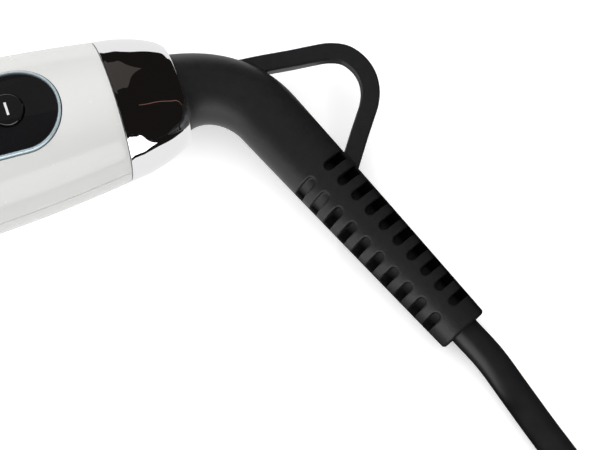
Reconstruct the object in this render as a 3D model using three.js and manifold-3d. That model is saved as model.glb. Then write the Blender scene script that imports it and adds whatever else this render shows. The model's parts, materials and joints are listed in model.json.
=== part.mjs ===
// A curling iron lying on a table with its safety stand out, millimetres, +Z up.
// The origin is on the table under the middle of the iron; the barrel points along -X, the cord end along +X.
// Every piece of the iron is drawn in the handle's own frame: X along its axis towards the cord, 0 at the
// seam between the handle and its chrome end ring, Z away from the table.
import * as THREE from "three";
import { mergeVertices } from "three/addons/utils/BufferGeometryUtils.js";
import Module from "manifold-3d";

const wasm = await Module();
wasm.setup();

// ---------------------------------------------------------------- driving dimensions
const TILT = THREE.MathUtils.degToRad(6); // the handle's axis slopes down towards the cord
const GAP = 0.3; // between pieces that are fixed to each other
const FIT = 0.4; // round a piece that turns or slides
const ROUND = 32; // sides of the large round pieces
const SMALL_ROUND = 24; // sides of what is inside them

const BARREL_RADIUS = 12.5;
const BARREL_WALL = 0.9;
const BARREL_LENGTH = 162; // in front of the handle
const BARREL_TAIL = 12; // inside the handle
const TIP_LENGTH = 22;
const TIP_PLUG = 10;
const COLLAR_LENGTH = 11;
const COLLAR_SPIGOT = 6;

const HANDLE_LENGTH = 150;
const TAIL_RADIUS = 15.4;
const BELLY_RADIUS = 18.6;
const BELLY_AT = 46; // from the tail
const WAIST_RADIUS = 16.4;
const FRONT_RADIUS = BARREL_RADIUS + 4.7; // room for the collar's spigot and the shell's wall
const WAIST_TO_FRONT = 32;
const SHELL_WALL = 2.2;
const PARTING_HEIGHT = 2.6; // the upper shell is the shallower one
const SCREW_POST_RADIUS = 3.9;
const SCREW_HEAD_RADIUS = 2.8;
const SCREW_SHANK_RADIUS = 1.4;
const SCREW_HEAD_LEVEL = -9;

const HEATER_LENGTH = 120;
const HEATER_THICKNESS = 2.4;
const SPREADER_FROM_TIP = 12;

const CLIP_THICKNESS = 1;
const CLIP_CLEARANCE = 0.7; // above the barrel when closed
const CLIP_HALF_WIDTH = 11.5;
const CLIP_TO_TIP = 6;
const PIVOT_FROM_HANDLE = 20;
const PIVOT_ABOVE_BARREL = 5;
const PIN_RADIUS = 1.6;
const BRACKET_HALF_WIDTH = 6.2;
const BRACKET_LENGTH = 13;
const EAR_RADIUS = 3;
const LEVER_LENGTH = 44;
const LEVER_HALF_WIDTH = 9.5;
const LEVER_RISE = THREE.MathUtils.degToRad(27);
const SPRING_WIRE = 0.9;
const SPRING_TURNS = 5;

const STAND_PIVOT_FROM_HANDLE = 5.5;
const STAND_PIVOT_DROP = 8;
const STAND_STRIP = 1.2;
const STAND_WIDTH = 6;
const STAND_LEAN = 2.5; // the foot stands this far behind the pivot, so that weight holds it open
const STAND_RIVET_RADIUS = 1.7;
const STAND_RIVET_DEPTH = 3.9; // inside the collar's boss
const BOSS_PROUD = 0.9;
const BOSS_RADIUS = 4;
const FOOT_PAD_HEIGHT = 1.8;
const FOOT_PAD_LENGTH = 30;

const PANEL_FROM_TAIL = 11;
const PANEL_LENGTH = 82;
const PANEL_HALF_WIDTH = 9;
const BEZEL_WIDTH = 1;
const BEZEL_PROUD = 0.45;
const LENS_PROUD = 0.15;
const PANEL_DEPTH = 1.8;
const BUTTON_PROUD = 0.85;
const BUTTON_DEPTH = 3.2;
const BUTTON_TRAVEL = 0.5;
const POWER_RADIUS = 4.2;
const KEY_RADIUS = 3.4;
const POWER_AT = 79; // from the tail, as are the next three
const PLUS_AT = 33;
const MINUS_AT = 22;
const DISPLAY_AT = 53;
const DISPLAY_LENGTH = 24;
const DISPLAY_HALF_WIDTH = 6;
const BOARD_TOP = 7.3;
const BOARD_THICKNESS = 1.6;
const BOARD_HALF_WIDTH = 8.6;
const BOARD_POST_RADIUS = 1.6;

const RING_LENGTH = 14.6;
const RING_WALL = 1.6;
const RING_BORE = 8.9;
const RING_LIP = 2;
const RING_SPIGOT = 6;
const CORE_RADIUS = 5.5;
const CORE_FLANGE = 10;
const CORE_FLANGE_WIDTH = 2.6;
const CORE_TAIL = 15;
const SLIP_RING_WIDTH = 3;
const SLIP_RING_RADIUS = 6.6;

const ELBOW_START = 15.5;
const ELBOW_RADIUS = 18;
const ELBOW_ANGLE = THREE.MathUtils.degToRad(66.5);
const BOOT_STRAIGHT = 62;
const BOOT_ROOT_RADIUS = 8.5;
const BOOT_NECK_RADIUS = 7.3;
const BOOT_END_RADIUS = 5.7;
const BOOT_CLEARANCE = 0.35; // under the boot's mouth
const SLOT_COUNT = 10;
const SLOT_PITCH = 4.3;
const SLOT_WIDTH = 2.1;
const SLOT_FROM_END = 5.9;
const SPINE_HALF_WIDTH = 1.5;
const SLOT_TURN = THREE.MathUtils.degToRad(-16.5); // of the spine round the boot, from the loop's normal
const SLOT_WEB = 0.6; // half of what is left between the slots of the two faces
const LOOP_WIDTH = 3.9;
const LOOP_THICKNESS = 3.2;

const CORD_RADIUS = 3.4;
const CORD_LEVEL = CORD_RADIUS + 0.15;
const COIL_RADIUS = 39.6; // of the middle of its turns
const COIL_HALF_WIDTH = 13.9;
const COIL_HEIGHT = 13.8;
const COIL_CENTRE = [-34, -92]; // from the boot's mouth, along X and Y
const COIL_STRAND = 50; // the outer turn, which the cord enters and leaves on
const COIL_STUB = 31; // straight cord that the coil's solid carries at each end
const TIE_WIDTH = 10;
const TIE_THICKNESS = 0.8;

const PLUG_LENGTH = 36;
const PLUG_HALF_WIDTH = 13.2;
const PLUG_NECK = 4.6;
const PLUG_THICKNESS = 13.6;
const RELIEF_LENGTH = 26;
const PIN_PITCH = 18.6;
const PLUG_PIN_RADIUS = 2;
const PLUG_PIN_LENGTH = 19;
const SLEEVE_RADIUS = 1.9;
const SLEEVE_LENGTH = 10;

// ---------------------------------------------------------------- materials
const finish = (color, roughness, metalness = 0) =>
  new THREE.MeshStandardMaterial({ color, roughness, metalness });
const WHITE_PLASTIC = finish(0xe5e5e3, 0.25);
const BLACK_GLOSS = finish(0x0d0e10, 0.12);
const BLACK_PLASTIC = finish(0x1b1c1e, 0.5);
const BLACK_RUBBER = finish(0x212124, 0.6);
const CHROME = finish(0xd8dadd, 0.06, 1);
const POLISHED_STEEL = finish(0xc4c6c9, 0.18, 1);
const SPRING_STEEL = finish(0x8d9094, 0.35, 1);
const ALUMINIUM = finish(0xb5b8bc, 0.4, 1);
const CERAMIC = finish(0xd9d4c8, 0.7);
const BRASS = finish(0xc2a14d, 0.3, 1);
const BOARD_GREEN = finish(0x1e5b3a, 0.5);
const GREY_PLASTIC = finish(0x8d9196, 0.4);
const WIRE_RED = finish(0x8c2f2a, 0.6);

// ---------------------------------------------------------------- small tools
// One closed solid from a geometry, its faces pointing out.
function solid(geometry) {
  const plain = geometry.clone();
  plain.deleteAttribute("normal");
  plain.deleteAttribute("uv");
  const merged = mergeVertices(plain, 1e-4);
  const corners = merged.index.array;
  const kept = [];
  for (let i = 0; i < corners.length; i += 3) {
    const [a, b, c] = corners.slice(i, i + 3);
    if (a !== b && b !== c && c !== a) kept.push(a, b, c);
  }
  const vertProperties = new Float32Array(merged.attributes.position.array);
  const build = (list) =>
    new wasm.Manifold(
      new wasm.Mesh({ numProp: 3, vertProperties, triVerts: new Uint32Array(list) }),
    );
  const made = build(kept);
  return made.volume() > 0 ? made : build(kept.reverse());
}

function mesh(name, made, material) {
  const { vertProperties, triVerts } = made.getMesh();
  const geometry = new THREE.BufferGeometry();
  geometry.setAttribute("position", new THREE.BufferAttribute(vertProperties, 3));
  geometry.setIndex(new THREE.BufferAttribute(triVerts, 1));
  geometry.computeVertexNormals();
  const piece = new THREE.Mesh(geometry, material);
  piece.name = name;
  return piece;
}

// A profile of [x, radius] points turned about the X axis.
function turned(profile, sides = ROUND) {
  const points = profile.map(([x, r]) => new THREE.Vector2(r, x));
  return solid(new THREE.LatheGeometry(points, sides).rotateZ(-Math.PI / 2));
}

// A round bar along x, y or z, between two places on that axis.
function rod(axis, radius, from, to, centre = [0, 0, 0], sides = 24) {
  const bar = new THREE.CylinderGeometry(radius, radius, to - from, sides);
  bar.translate(0, (from + to) / 2, 0);
  if (axis === "x") bar.rotateZ(-Math.PI / 2);
  if (axis === "z") bar.rotateX(Math.PI / 2);
  return solid(bar.translate(...centre));
}

function block(x0, x1, y0, y1, z0, z1) {
  const box = new THREE.BoxGeometry(x1 - x0, y1 - y0, z1 - z0);
  return solid(box.translate((x0 + x1) / 2, (y0 + y1) / 2, (z0 + z1) / 2));
}

// An outline in plan, extruded from one height to another.
function plate(shape, z0, z1, curveSegments = 10) {
  const slab = new THREE.ExtrudeGeometry(shape, { depth: z1 - z0, bevelEnabled: false, curveSegments });
  return solid(slab.translate(0, 0, z0));
}

// An outline in the XZ plane, extruded from one y to another.
function sidePlate(shape, y0, y1, curveSegments = 8) {
  const slab = new THREE.ExtrudeGeometry(shape, { depth: y1 - y0, bevelEnabled: false, curveSegments });
  return solid(slab.rotateX(Math.PI / 2).translate(0, y1, 0));
}

function stadium(x0, x1, half) {
  const shape = new THREE.Shape();
  shape.absarc(x1 - half, 0, half, -Math.PI / 2, Math.PI / 2);
  shape.absarc(x0 + half, 0, half, Math.PI / 2, (3 * Math.PI) / 2);
  return shape;
}

function outline(points) {
  return new THREE.Shape(points.map(([x, y]) => new THREE.Vector2(x, y)));
}

function circle(radius, sides) {
  const turn = (i) => (2 * Math.PI * i) / sides;
  const place = (angle) => [radius * Math.cos(angle), radius * Math.sin(angle)];
  return outline(Array.from({ length: sides }, (_, i) => place(turn(i))));
}

// A round wire along a curve.
function wire(curve, radius, steps, sides = 8) {
  const path = { steps, extrudePath: curve, bevelEnabled: false };
  return solid(new THREE.ExtrudeGeometry(circle(radius, sides), path));
}

const vector = ([x, y, z]) => new THREE.Vector3(x, y, z);
const curveThrough = (points) => new THREE.CatmullRomCurve3(points.map(vector), false, "centripetal");
const joined = (pieces) => pieces.reduce((all, piece) => all.add(piece));
const ring = (from, to, inner, outer, sides = ROUND) =>
  turned([[from, inner], [from, outer], [to, outer], [to, inner], [from, inner]], sides);
const moved = (made, matrix) => made.transform(matrix.elements);

// ---------------------------------------------------------------- the handle's outside
// The radius swells from the tail to the belly, falls to the waist and opens again at the front.
function handleRadius(x) {
  const back = -x;
  if (back < BELLY_AT) return BELLY_RADIUS - (BELLY_RADIUS - TAIL_RADIUS) * (1 - back / BELLY_AT) ** 2;
  const waist = HANDLE_LENGTH - WAIST_TO_FRONT;
  if (back < waist) {
    const share = (1 - Math.cos((Math.PI * (back - BELLY_AT)) / (waist - BELLY_AT))) / 2;
    return BELLY_RADIUS + (WAIST_RADIUS - BELLY_RADIUS) * share;
  }
  return WAIST_RADIUS + (FRONT_RADIUS - WAIST_RADIUS) * ((back - waist) / WAIST_TO_FRONT) ** 2;
}

// The stations along the handle, every 12 mm or so.
const STATIONS = Array.from({ length: 13 }, (_, i) => -HANDLE_LENGTH * (1 - i / 12));

// A skin that follows the handle's surface, between two offsets from it.
function skin(inner, outer, from = -HANDLE_LENGTH, to = 0) {
  const inside = STATIONS.filter((x) => x > from && x < to);
  const stations = [from, ...inside, to];
  const over = stations.map((x) => [x, handleRadius(x) + outer]);
  const under = stations.map((x) => [x, handleRadius(x) + inner]).reverse();
  return turned([...over, ...under, over[0]]);
}

// The room inside the handle's shells, out to the middle of their walls.
function handleRoom() {
  const over = STATIONS.map((x) => [x, handleRadius(x) - SHELL_WALL / 2]);
  return turned([[-HANDLE_LENGTH, 0], ...over, [0, 0]]);
}

// The axis's height at the seam, with the handle's lowest line on the table.
const SEAM_HEIGHT = Math.max(
  ...STATIONS.map((x) => handleRadius(x) * Math.cos(TILT) + x * Math.sin(TILT)),
);

// ---------------------------------------------------------------- handle
const SCREWS = [
  { name: "handle_screw_front", x: -(HANDLE_LENGTH - 38), y: 0 },
  { name: "handle_screw_left", x: -(BELLY_AT + 4), y: -(BELLY_RADIUS - 6.2) },
  { name: "handle_screw_right", x: -(BELLY_AT + 4), y: BELLY_RADIUS - 6.2 },
];
const BOARD_FROM = -(PANEL_FROM_TAIL + PANEL_LENGTH);
const BOARD_TO = -(PANEL_FROM_TAIL + PANEL_HALF_WIDTH);
const BOARD_POSTS = [BOARD_FROM + 5, BOARD_TO - 5].flatMap((x) => [-1, 1].map((side) => [x, side * 6]));
const panelPlan = (grow) =>
  stadium(
    -(PANEL_FROM_TAIL + PANEL_LENGTH) - grow,
    -PANEL_FROM_TAIL + grow,
    PANEL_HALF_WIDTH + grow,
  );

function handleShellUpper() {
  const half = block(-HANDLE_LENGTH - 1, 1, -30, 30, PARTING_HEIGHT + GAP / 2, 30);
  const room = handleRoom().intersect(half);
  const posts = SCREWS.map(({ x, y }) =>
    rod("z", SCREW_POST_RADIUS - 0.9, PARTING_HEIGHT + GAP / 2, 30, [x, y, 0]).intersect(room),
  );
  const bores = SCREWS.map(({ x, y }) => rod("z", SCREW_SHANK_RADIUS + GAP, 0, 9, [x, y, 0], 12));
  return skin(-SHELL_WALL, 0)
    .intersect(half)
    .add(joined(posts))
    .subtract(joined(bores))
    .subtract(plate(panelPlan(GAP), 8, 30));
}

function handleShellLower() {
  const half = block(-HANDLE_LENGTH - 1, 1, -30, 30, -30, PARTING_HEIGHT - GAP / 2);
  const room = handleRoom().intersect(half);
  const screwPosts = SCREWS.map(({ x, y }) =>
    rod("z", SCREW_POST_RADIUS, -30, 30, [x, y, 0]).intersect(room),
  );
  const boardPosts = BOARD_POSTS.map(([x, y]) =>
    rod("z", BOARD_POST_RADIUS, -30, PARTING_HEIGHT - GAP / 2, [x, y, 0], 12).intersect(room),
  );
  const boardPegs = BOARD_POSTS.map(([x, y]) =>
    rod("z", BOARD_POST_RADIUS, 0, BOARD_TOP - BOARD_THICKNESS - GAP, [x, y, 0], 12),
  );
  const bores = SCREWS.flatMap(({ x, y }) => [
    rod("z", SCREW_SHANK_RADIUS + GAP, -20, 20, [x, y, 0], 12),
    rod("z", SCREW_HEAD_RADIUS + GAP, -30, SCREW_HEAD_LEVEL, [x, y, 0], 16),
  ]);
  return skin(-SHELL_WALL, 0)
    .intersect(half)
    .add(joined([...screwPosts, ...boardPosts, ...boardPegs]))
    .subtract(joined(bores));
}

function handleScrew({ x, y }) {
  const head = rod("z", SCREW_HEAD_RADIUS, SCREW_HEAD_LEVEL - GAP - 2, SCREW_HEAD_LEVEL - GAP, [x, y, 0], 16);
  const shank = rod("z", SCREW_SHANK_RADIUS, SCREW_HEAD_LEVEL - 1, 8, [x, y, 0], 12);
  const cross = joined([
    block(x - 1.7, x + 1.7, y - 0.35, y + 0.35, SCREW_HEAD_LEVEL - 3, SCREW_HEAD_LEVEL - 1.4),
    block(x - 0.35, x + 0.35, y - 1.7, y + 1.7, SCREW_HEAD_LEVEL - 3, SCREW_HEAD_LEVEL - 1.4),
  ]);
  return head.add(shank).subtract(cross);
}

// ---------------------------------------------------------------- control panel
const KEYS = [
  { name: "power_button", x: -POWER_AT, radius: POWER_RADIUS },
  { name: "plus_button", x: -PLUS_AT, radius: KEY_RADIUS },
  { name: "minus_button", x: -MINUS_AT, radius: KEY_RADIUS },
];

function panelBezel() {
  const plan = panelPlan(0);
  plan.holes.push(panelPlan(-BEZEL_WIDTH));
  return plate(plan, 8, 30).intersect(skin(-PANEL_DEPTH, BEZEL_PROUD));
}

function panelLens() {
  const holes = KEYS.map(({ x, radius }) => rod("z", radius + GAP, 8, 30, [x, 0, 0]));
  return plate(panelPlan(-BEZEL_WIDTH - GAP), 8, 30)
    .intersect(skin(-PANEL_DEPTH, LENS_PROUD))
    .subtract(joined(holes));
}

// A key with a flange under the lens, which keeps it in its hole.
function button({ x, radius }) {
  const stem = rod("z", radius, 8, 30, [x, 0, 0]).intersect(skin(-BUTTON_DEPTH, BUTTON_PROUD));
  const flange = rod("z", radius + 1, 8, 30, [x, 0, 0]).intersect(
    skin(-BUTTON_DEPTH, -PANEL_DEPTH - GAP),
  );
  return stem.add(flange);
}

function keySwitch({ x }) {
  const reach = handleRadius(x) - BUTTON_DEPTH - BUTTON_TRAVEL - GAP;
  const body = block(x - 3, x + 3, -3, 3, BOARD_TOP + GAP, reach - 1.2);
  return body.add(rod("z", 1.6, BOARD_TOP + 1, reach, [x, 0, 0], 12));
}

function displayModule() {
  const under = handleRadius(-DISPLAY_AT - DISPLAY_LENGTH / 2) - PANEL_DEPTH - GAP;
  const level = Math.sqrt(under ** 2 - DISPLAY_HALF_WIDTH ** 2);
  const middle = -DISPLAY_AT;
  return block(
    middle - DISPLAY_LENGTH / 2,
    middle + DISPLAY_LENGTH / 2,
    -DISPLAY_HALF_WIDTH,
    DISPLAY_HALF_WIDTH,
    BOARD_TOP + GAP,
    level,
  );
}

function controlBoard() {
  return block(
    BOARD_FROM,
    BOARD_TO,
    -BOARD_HALF_WIDTH,
    BOARD_HALF_WIDTH,
    BOARD_TOP - BOARD_THICKNESS,
    BOARD_TOP,
  );
}

// ---------------------------------------------------------------- barrel and heater
const BARREL_FRONT = -(HANDLE_LENGTH + BARREL_LENGTH);
const BARREL_BORE = BARREL_RADIUS - BARREL_WALL;
const SPREADER_FRONT = BARREL_FRONT + SPREADER_FROM_TIP;
const SPREADER_BACK = SPREADER_FRONT + HEATER_LENGTH;

function barrelTube() {
  return ring(BARREL_FRONT, -HANDLE_LENGTH + BARREL_TAIL, BARREL_BORE, BARREL_RADIUS);
}

function heatSpreader(side) {
  const gap = HEATER_THICKNESS / 2 + GAP;
  const bar = rod("x", BARREL_BORE - FIT, SPREADER_FRONT, SPREADER_BACK, [0, 0, 0], SMALL_ROUND);
  const half = side > 0 ? [gap, 20] : [-20, -gap];
  return bar.intersect(block(SPREADER_FRONT - 1, SPREADER_BACK + 1, -20, 20, ...half));
}

function ptcHeater() {
  return block(
    SPREADER_FRONT + 5,
    SPREADER_BACK - 5,
    -8,
    8,
    -HEATER_THICKNESS / 2,
    HEATER_THICKNESS / 2,
  );
}

function thermistor() {
  return rod("x", 1.2, SPREADER_BACK + GAP, SPREADER_BACK + 7, [0, 0, 5], 12);
}

function thermalFuse() {
  const body = rod("x", 1.8, SPREADER_BACK + 8, SPREADER_BACK + 17, [0, 0, -5], 12);
  return body.add(rod("x", 0.5, SPREADER_BACK + GAP, SPREADER_BACK + 23, [0, 0, -5], 8));
}

function coolTip() {
  const front = BARREL_FRONT - TIP_LENGTH;
  const plug = BARREL_BORE - GAP;
  return turned(
    [
      [front, 0],
      [front, 5.4],
      [front + 0.8, 7.6],
      [front + 2.6, 9.2],
      [front + 6, 10.3],
      [BARREL_FRONT - 4, 12.2],
      [BARREL_FRONT - 2, 12.9],
      [BARREL_FRONT - GAP, 12.9],
      [BARREL_FRONT - GAP, plug],
      [BARREL_FRONT + TIP_PLUG, plug],
      [BARREL_FRONT + TIP_PLUG, 0],
    ],
    SMALL_ROUND,
  );
}

function heaterLead(side) {
  const route = [
    [BOARD_FROM - GAP, side * 4, BOARD_TOP - BOARD_THICKNESS / 2],
    [BOARD_FROM - 8, side * 6.5, 4],
    [-(HANDLE_LENGTH - 38), side * 8, 1],
    [-(HANDLE_LENGTH - 12), side * 6.5, 0],
    [(SPREADER_BACK - HANDLE_LENGTH) / 2, side * 5, 0],
    [SPREADER_BACK - 5 + GAP, side * 5, 0],
  ];
  return wire(curveThrough(route), 0.9, 20, 6);
}

// ---------------------------------------------------------------- collar and stand
const COLLAR_FRONT = -(HANDLE_LENGTH + COLLAR_LENGTH);
const STAND_X = -(HANDLE_LENGTH + STAND_PIVOT_FROM_HANDLE);
const BOSS_FACE = FRONT_RADIUS + BOSS_PROUD;
const STAND_INSIDE = BOSS_FACE + GAP;
const STAND_OUTSIDE = STAND_INSIDE + STAND_STRIP;

function frontCollar() {
  const spigotEnd = -HANDLE_LENGTH + COLLAR_SPIGOT;
  const spigot = handleRadius(spigotEnd) - SHELL_WALL - GAP;
  const back = -HANDLE_LENGTH - GAP;
  const bore = BARREL_RADIUS + GAP;
  const body = turned([
    [COLLAR_FRONT, bore],
    [COLLAR_FRONT, BARREL_RADIUS + 1.8],
    [COLLAR_FRONT + 3, FRONT_RADIUS - 1.4],
    [COLLAR_FRONT + 7, FRONT_RADIUS - 0.2],
    [back, FRONT_RADIUS],
    [back, spigot],
    [spigotEnd, spigot],
    [spigotEnd, bore],
    [COLLAR_FRONT, bore],
  ]);
  const pivot = [STAND_X, 0, -STAND_PIVOT_DROP];
  const bosses = rod("y", BOSS_RADIUS, -BOSS_FACE, BOSS_FACE, pivot);
  const inside = rod("x", bore, COLLAR_FRONT - 1, 0);
  const bottom = BOSS_FACE - STAND_RIVET_DEPTH - GAP;
  const holes = rod("y", STAND_RIVET_RADIUS + GAP, -2 * BOSS_FACE, 2 * BOSS_FACE, pivot, 16);
  const between = rod("y", BOSS_RADIUS, -bottom, bottom, pivot);
  return body.add(bosses).subtract(inside).subtract(holes.subtract(between));
}

// The stand's pieces are drawn from its pivot, with Z up from the table.
const STAND_HEIGHT =
  SEAM_HEIGHT - STAND_PIVOT_DROP * Math.cos(TILT) - STAND_X * Math.sin(TILT);

function standFrame() {
  const floor = FOOT_PAD_HEIGHT + GAP - STAND_HEIGHT;
  const half = STAND_WIDTH / 2;
  const leg = outline([
    [STAND_LEAN - half, floor],
    [STAND_LEAN + half, floor],
    [half, 0],
    [-half, 0],
  ]);
  const sides = [-1, 1].flatMap((side) => {
    const [y0, y1] = side > 0 ? [STAND_INSIDE, STAND_OUTSIDE] : [-STAND_OUTSIDE, -STAND_INSIDE];
    return [sidePlate(leg, y0, y1), rod("y", half + 0.8, y0, y1)];
  });
  const foot = block(
    STAND_LEAN - half,
    STAND_LEAN + half,
    -STAND_OUTSIDE,
    STAND_OUTSIDE,
    floor,
    floor + STAND_STRIP,
  );
  return joined([...sides, foot]).subtract(rod("y", STAND_RIVET_RADIUS + GAP, -40, 40, [0, 0, 0], 16));
}

function standFootPad() {
  const half = STAND_WIDTH / 2;
  const pad = stadium(-FOOT_PAD_LENGTH / 2, FOOT_PAD_LENGTH / 2, half);
  const made = plate(pad, -STAND_HEIGHT, -STAND_HEIGHT + FOOT_PAD_HEIGHT);
  const across = new THREE.Matrix4().makeRotationZ(Math.PI / 2);
  return moved(made, new THREE.Matrix4().makeTranslation(STAND_LEAN, 0, 0).multiply(across));
}

function standRivet(side) {
  const span = (from, to) => (side > 0 ? [from, to] : [-to, -from]);
  const [inner, outer] = span(BOSS_FACE - STAND_RIVET_DEPTH, STAND_OUTSIDE + 1);
  const shank = rod("y", STAND_RIVET_RADIUS, inner, outer, [0, 0, 0], 16);
  const head = rod("y", STAND_RIVET_RADIUS + 1.2, ...span(STAND_OUTSIDE + GAP, STAND_OUTSIDE + 1.3));
  return shank.add(head);
}

// ---------------------------------------------------------------- clip
const PIVOT_X = -(HANDLE_LENGTH + PIVOT_FROM_HANDLE);
const PIVOT_Z = BARREL_RADIUS + PIVOT_ABOVE_BARREL;
const CLIP_INSIDE = BARREL_RADIUS + CLIP_CLEARANCE;
const CLIP_OUTSIDE = CLIP_INSIDE + CLIP_THICKNESS;
const CLIP_FRONT = BARREL_FRONT + CLIP_TO_TIP;
const WEB_LEVEL = PIVOT_Z + EAR_RADIUS + 1.2;
const WEB_START = [PIVOT_X - 13, CLIP_INSIDE + CLIP_THICKNESS / 2];
const WEB_RISE_END = [PIVOT_X - 6, WEB_LEVEL];
const TONGUE_START = [PIVOT_X + 5, WEB_LEVEL + 0.4];
const CLIP_EAR_INSIDE = BRACKET_HALF_WIDTH + FIT;
const CLIP_EAR_OUTSIDE = CLIP_EAR_INSIDE + CLIP_THICKNESS;
const LEVER_RIVETS = [14, 30];

// A flat strip seen from the side as a line from one point to another, with round bends at both.
function stripBetween([x0, z0], [x1, z1], half) {
  const run = Math.hypot(x1 - x0, z1 - z0);
  const t = CLIP_THICKNESS / 2;
  const bar = block(0, run, -half, half, -t, t);
  const turn = new THREE.Matrix4().makeRotationY(-Math.atan2(z1 - z0, x1 - x0));
  const place = new THREE.Matrix4().makeTranslation(x0, 0, z0).multiply(turn);
  const bends = [[x0, z0], [x1, z1]].map(([x, z]) => rod("y", t, -half, half, [x, 0, z], 8));
  return joined([moved(bar, place), ...bends]);
}

// The thumb lever's frame: X along the clip's tongue, Z off its face.
const LEVER_FRAME = new THREE.Matrix4()
  .makeTranslation(TONGUE_START[0], 0, TONGUE_START[1])
  .multiply(new THREE.Matrix4().makeRotationY(-LEVER_RISE));

function clipPlate() {
  const neck = CLIP_EAR_OUTSIDE;
  const wide = CLIP_HALF_WIDTH;
  const plan = new THREE.Shape();
  plan.moveTo(WEB_START[0] + 1, neck);
  plan.lineTo(WEB_START[0] - 4, neck);
  plan.bezierCurveTo(WEB_START[0] - 12, neck, WEB_START[0] - 12, wide, WEB_START[0] - 20, wide);
  plan.lineTo(CLIP_FRONT + wide, wide);
  plan.absellipse(CLIP_FRONT + wide, 0, wide, wide, Math.PI / 2, (3 * Math.PI) / 2);
  plan.lineTo(WEB_START[0] - 20, -wide);
  plan.bezierCurveTo(WEB_START[0] - 12, -wide, WEB_START[0] - 12, -neck, WEB_START[0] - 4, -neck);
  plan.lineTo(WEB_START[0] + 1, -neck);
  const spoon = ring(CLIP_FRONT - 1, WEB_START[0] + 2, CLIP_INSIDE, CLIP_OUTSIDE, 48).intersect(
    plate(plan, 2, 30),
  );
  const tongue = moved(
    block(0, LEVER_LENGTH - 2, -neck, neck, -CLIP_THICKNESS / 2, CLIP_THICKNESS / 2),
    LEVER_FRAME,
  );
  const ear = outline([
    [WEB_RISE_END[0], WEB_LEVEL],
    [PIVOT_X - EAR_RADIUS, PIVOT_Z],
    [PIVOT_X + EAR_RADIUS, PIVOT_Z],
    [TONGUE_START[0], TONGUE_START[1]],
  ]);
  const ears = [-1, 1].flatMap((side) => {
    const [y0, y1] =
      side > 0 ? [CLIP_EAR_INSIDE, CLIP_EAR_OUTSIDE] : [-CLIP_EAR_OUTSIDE, -CLIP_EAR_INSIDE];
    return [sidePlate(ear, y0, y1), rod("y", EAR_RADIUS, y0, y1, [PIVOT_X, 0, PIVOT_Z])];
  });
  const hole = rod("y", PIN_RADIUS + GAP, -20, 20, [PIVOT_X, 0, PIVOT_Z], 16);
  const rivetHoles = LEVER_RIVETS.map((x) => moved(rod("z", 1.3 + GAP, -3, 3, [x, 0, 0], 12), LEVER_FRAME));
  return joined([
    spoon,
    stripBetween(WEB_START, WEB_RISE_END, neck),
    stripBetween(WEB_RISE_END, TONGUE_START, neck),
    tongue,
    ...ears,
  ]).subtract(joined([hole, ...rivetHoles]));
}

// The thumb lever and its rivets are drawn in the lever's frame.
function thumbLever() {
  const top = CLIP_THICKNESS / 2 + GAP;
  const tongue = CLIP_EAR_OUTSIDE + GAP;
  const pad = plate(stadium(3, LEVER_LENGTH + 4, LEVER_HALF_WIDTH), -1.4, 4.2);
  const channel = block(-5, LEVER_LENGTH - 2 + GAP, -tongue, tongue, -5, top);
  const dish = rod("y", 60, -20, 20, [LEVER_LENGTH / 2 + 6, 0, 63.1], 64);
  const holes = LEVER_RIVETS.map((x) => rod("z", 1.3 + GAP, 0, 2.6, [x, 0, 0], 12));
  return pad.subtract(joined([channel, dish, ...holes]));
}

function leverRivet(x) {
  const under = -CLIP_THICKNESS / 2 - GAP;
  const head = rod("z", 2.4, under - 0.9, under, [x, 0, 0], 16);
  return head.add(rod("z", 1.3, under - 0.5, 2.3, [x, 0, 0], 12));
}

function clipBracket() {
  const inner = BARREL_RADIUS + GAP;
  const half = BRACKET_LENGTH / 2;
  const saddle = ring(PIVOT_X - half, PIVOT_X + half, inner, inner + 1, 48).intersect(
    block(PIVOT_X - half, PIVOT_X + half, -BRACKET_HALF_WIDTH, BRACKET_HALF_WIDTH, 2, 30),
  );
  const foot = Math.sqrt((inner + 0.5) ** 2 - BRACKET_HALF_WIDTH ** 2);
  const ear = outline([
    [PIVOT_X - half, foot],
    [PIVOT_X + half, foot],
    [PIVOT_X + EAR_RADIUS, PIVOT_Z],
    [PIVOT_X - EAR_RADIUS, PIVOT_Z],
  ]);
  const ears = [-1, 1].flatMap((side) => {
    const outside = side * BRACKET_HALF_WIDTH;
    const inside = side * (BRACKET_HALF_WIDTH - 1);
    const [y0, y1] = [Math.min(outside, inside), Math.max(outside, inside)];
    return [sidePlate(ear, y0, y1), rod("y", EAR_RADIUS, y0, y1, [PIVOT_X, 0, PIVOT_Z])];
  });
  return joined([saddle, ...ears]).subtract(
    rod("y", PIN_RADIUS + GAP, -20, 20, [PIVOT_X, 0, PIVOT_Z], 16),
  );
}

function clipPin() {
  const end = CLIP_EAR_OUTSIDE + GAP;
  const shaft = rod("y", PIN_RADIUS, -end - 1, end + 1, [PIVOT_X, 0, PIVOT_Z], 16);
  const heads = [-1, 1].map((side) =>
    rod("y", PIN_RADIUS + 1, side > 0 ? end : -end - 1, side > 0 ? end + 1 : -end, [PIVOT_X, 0, PIVOT_Z]),
  );
  return joined([shaft, ...heads]);
}

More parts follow.
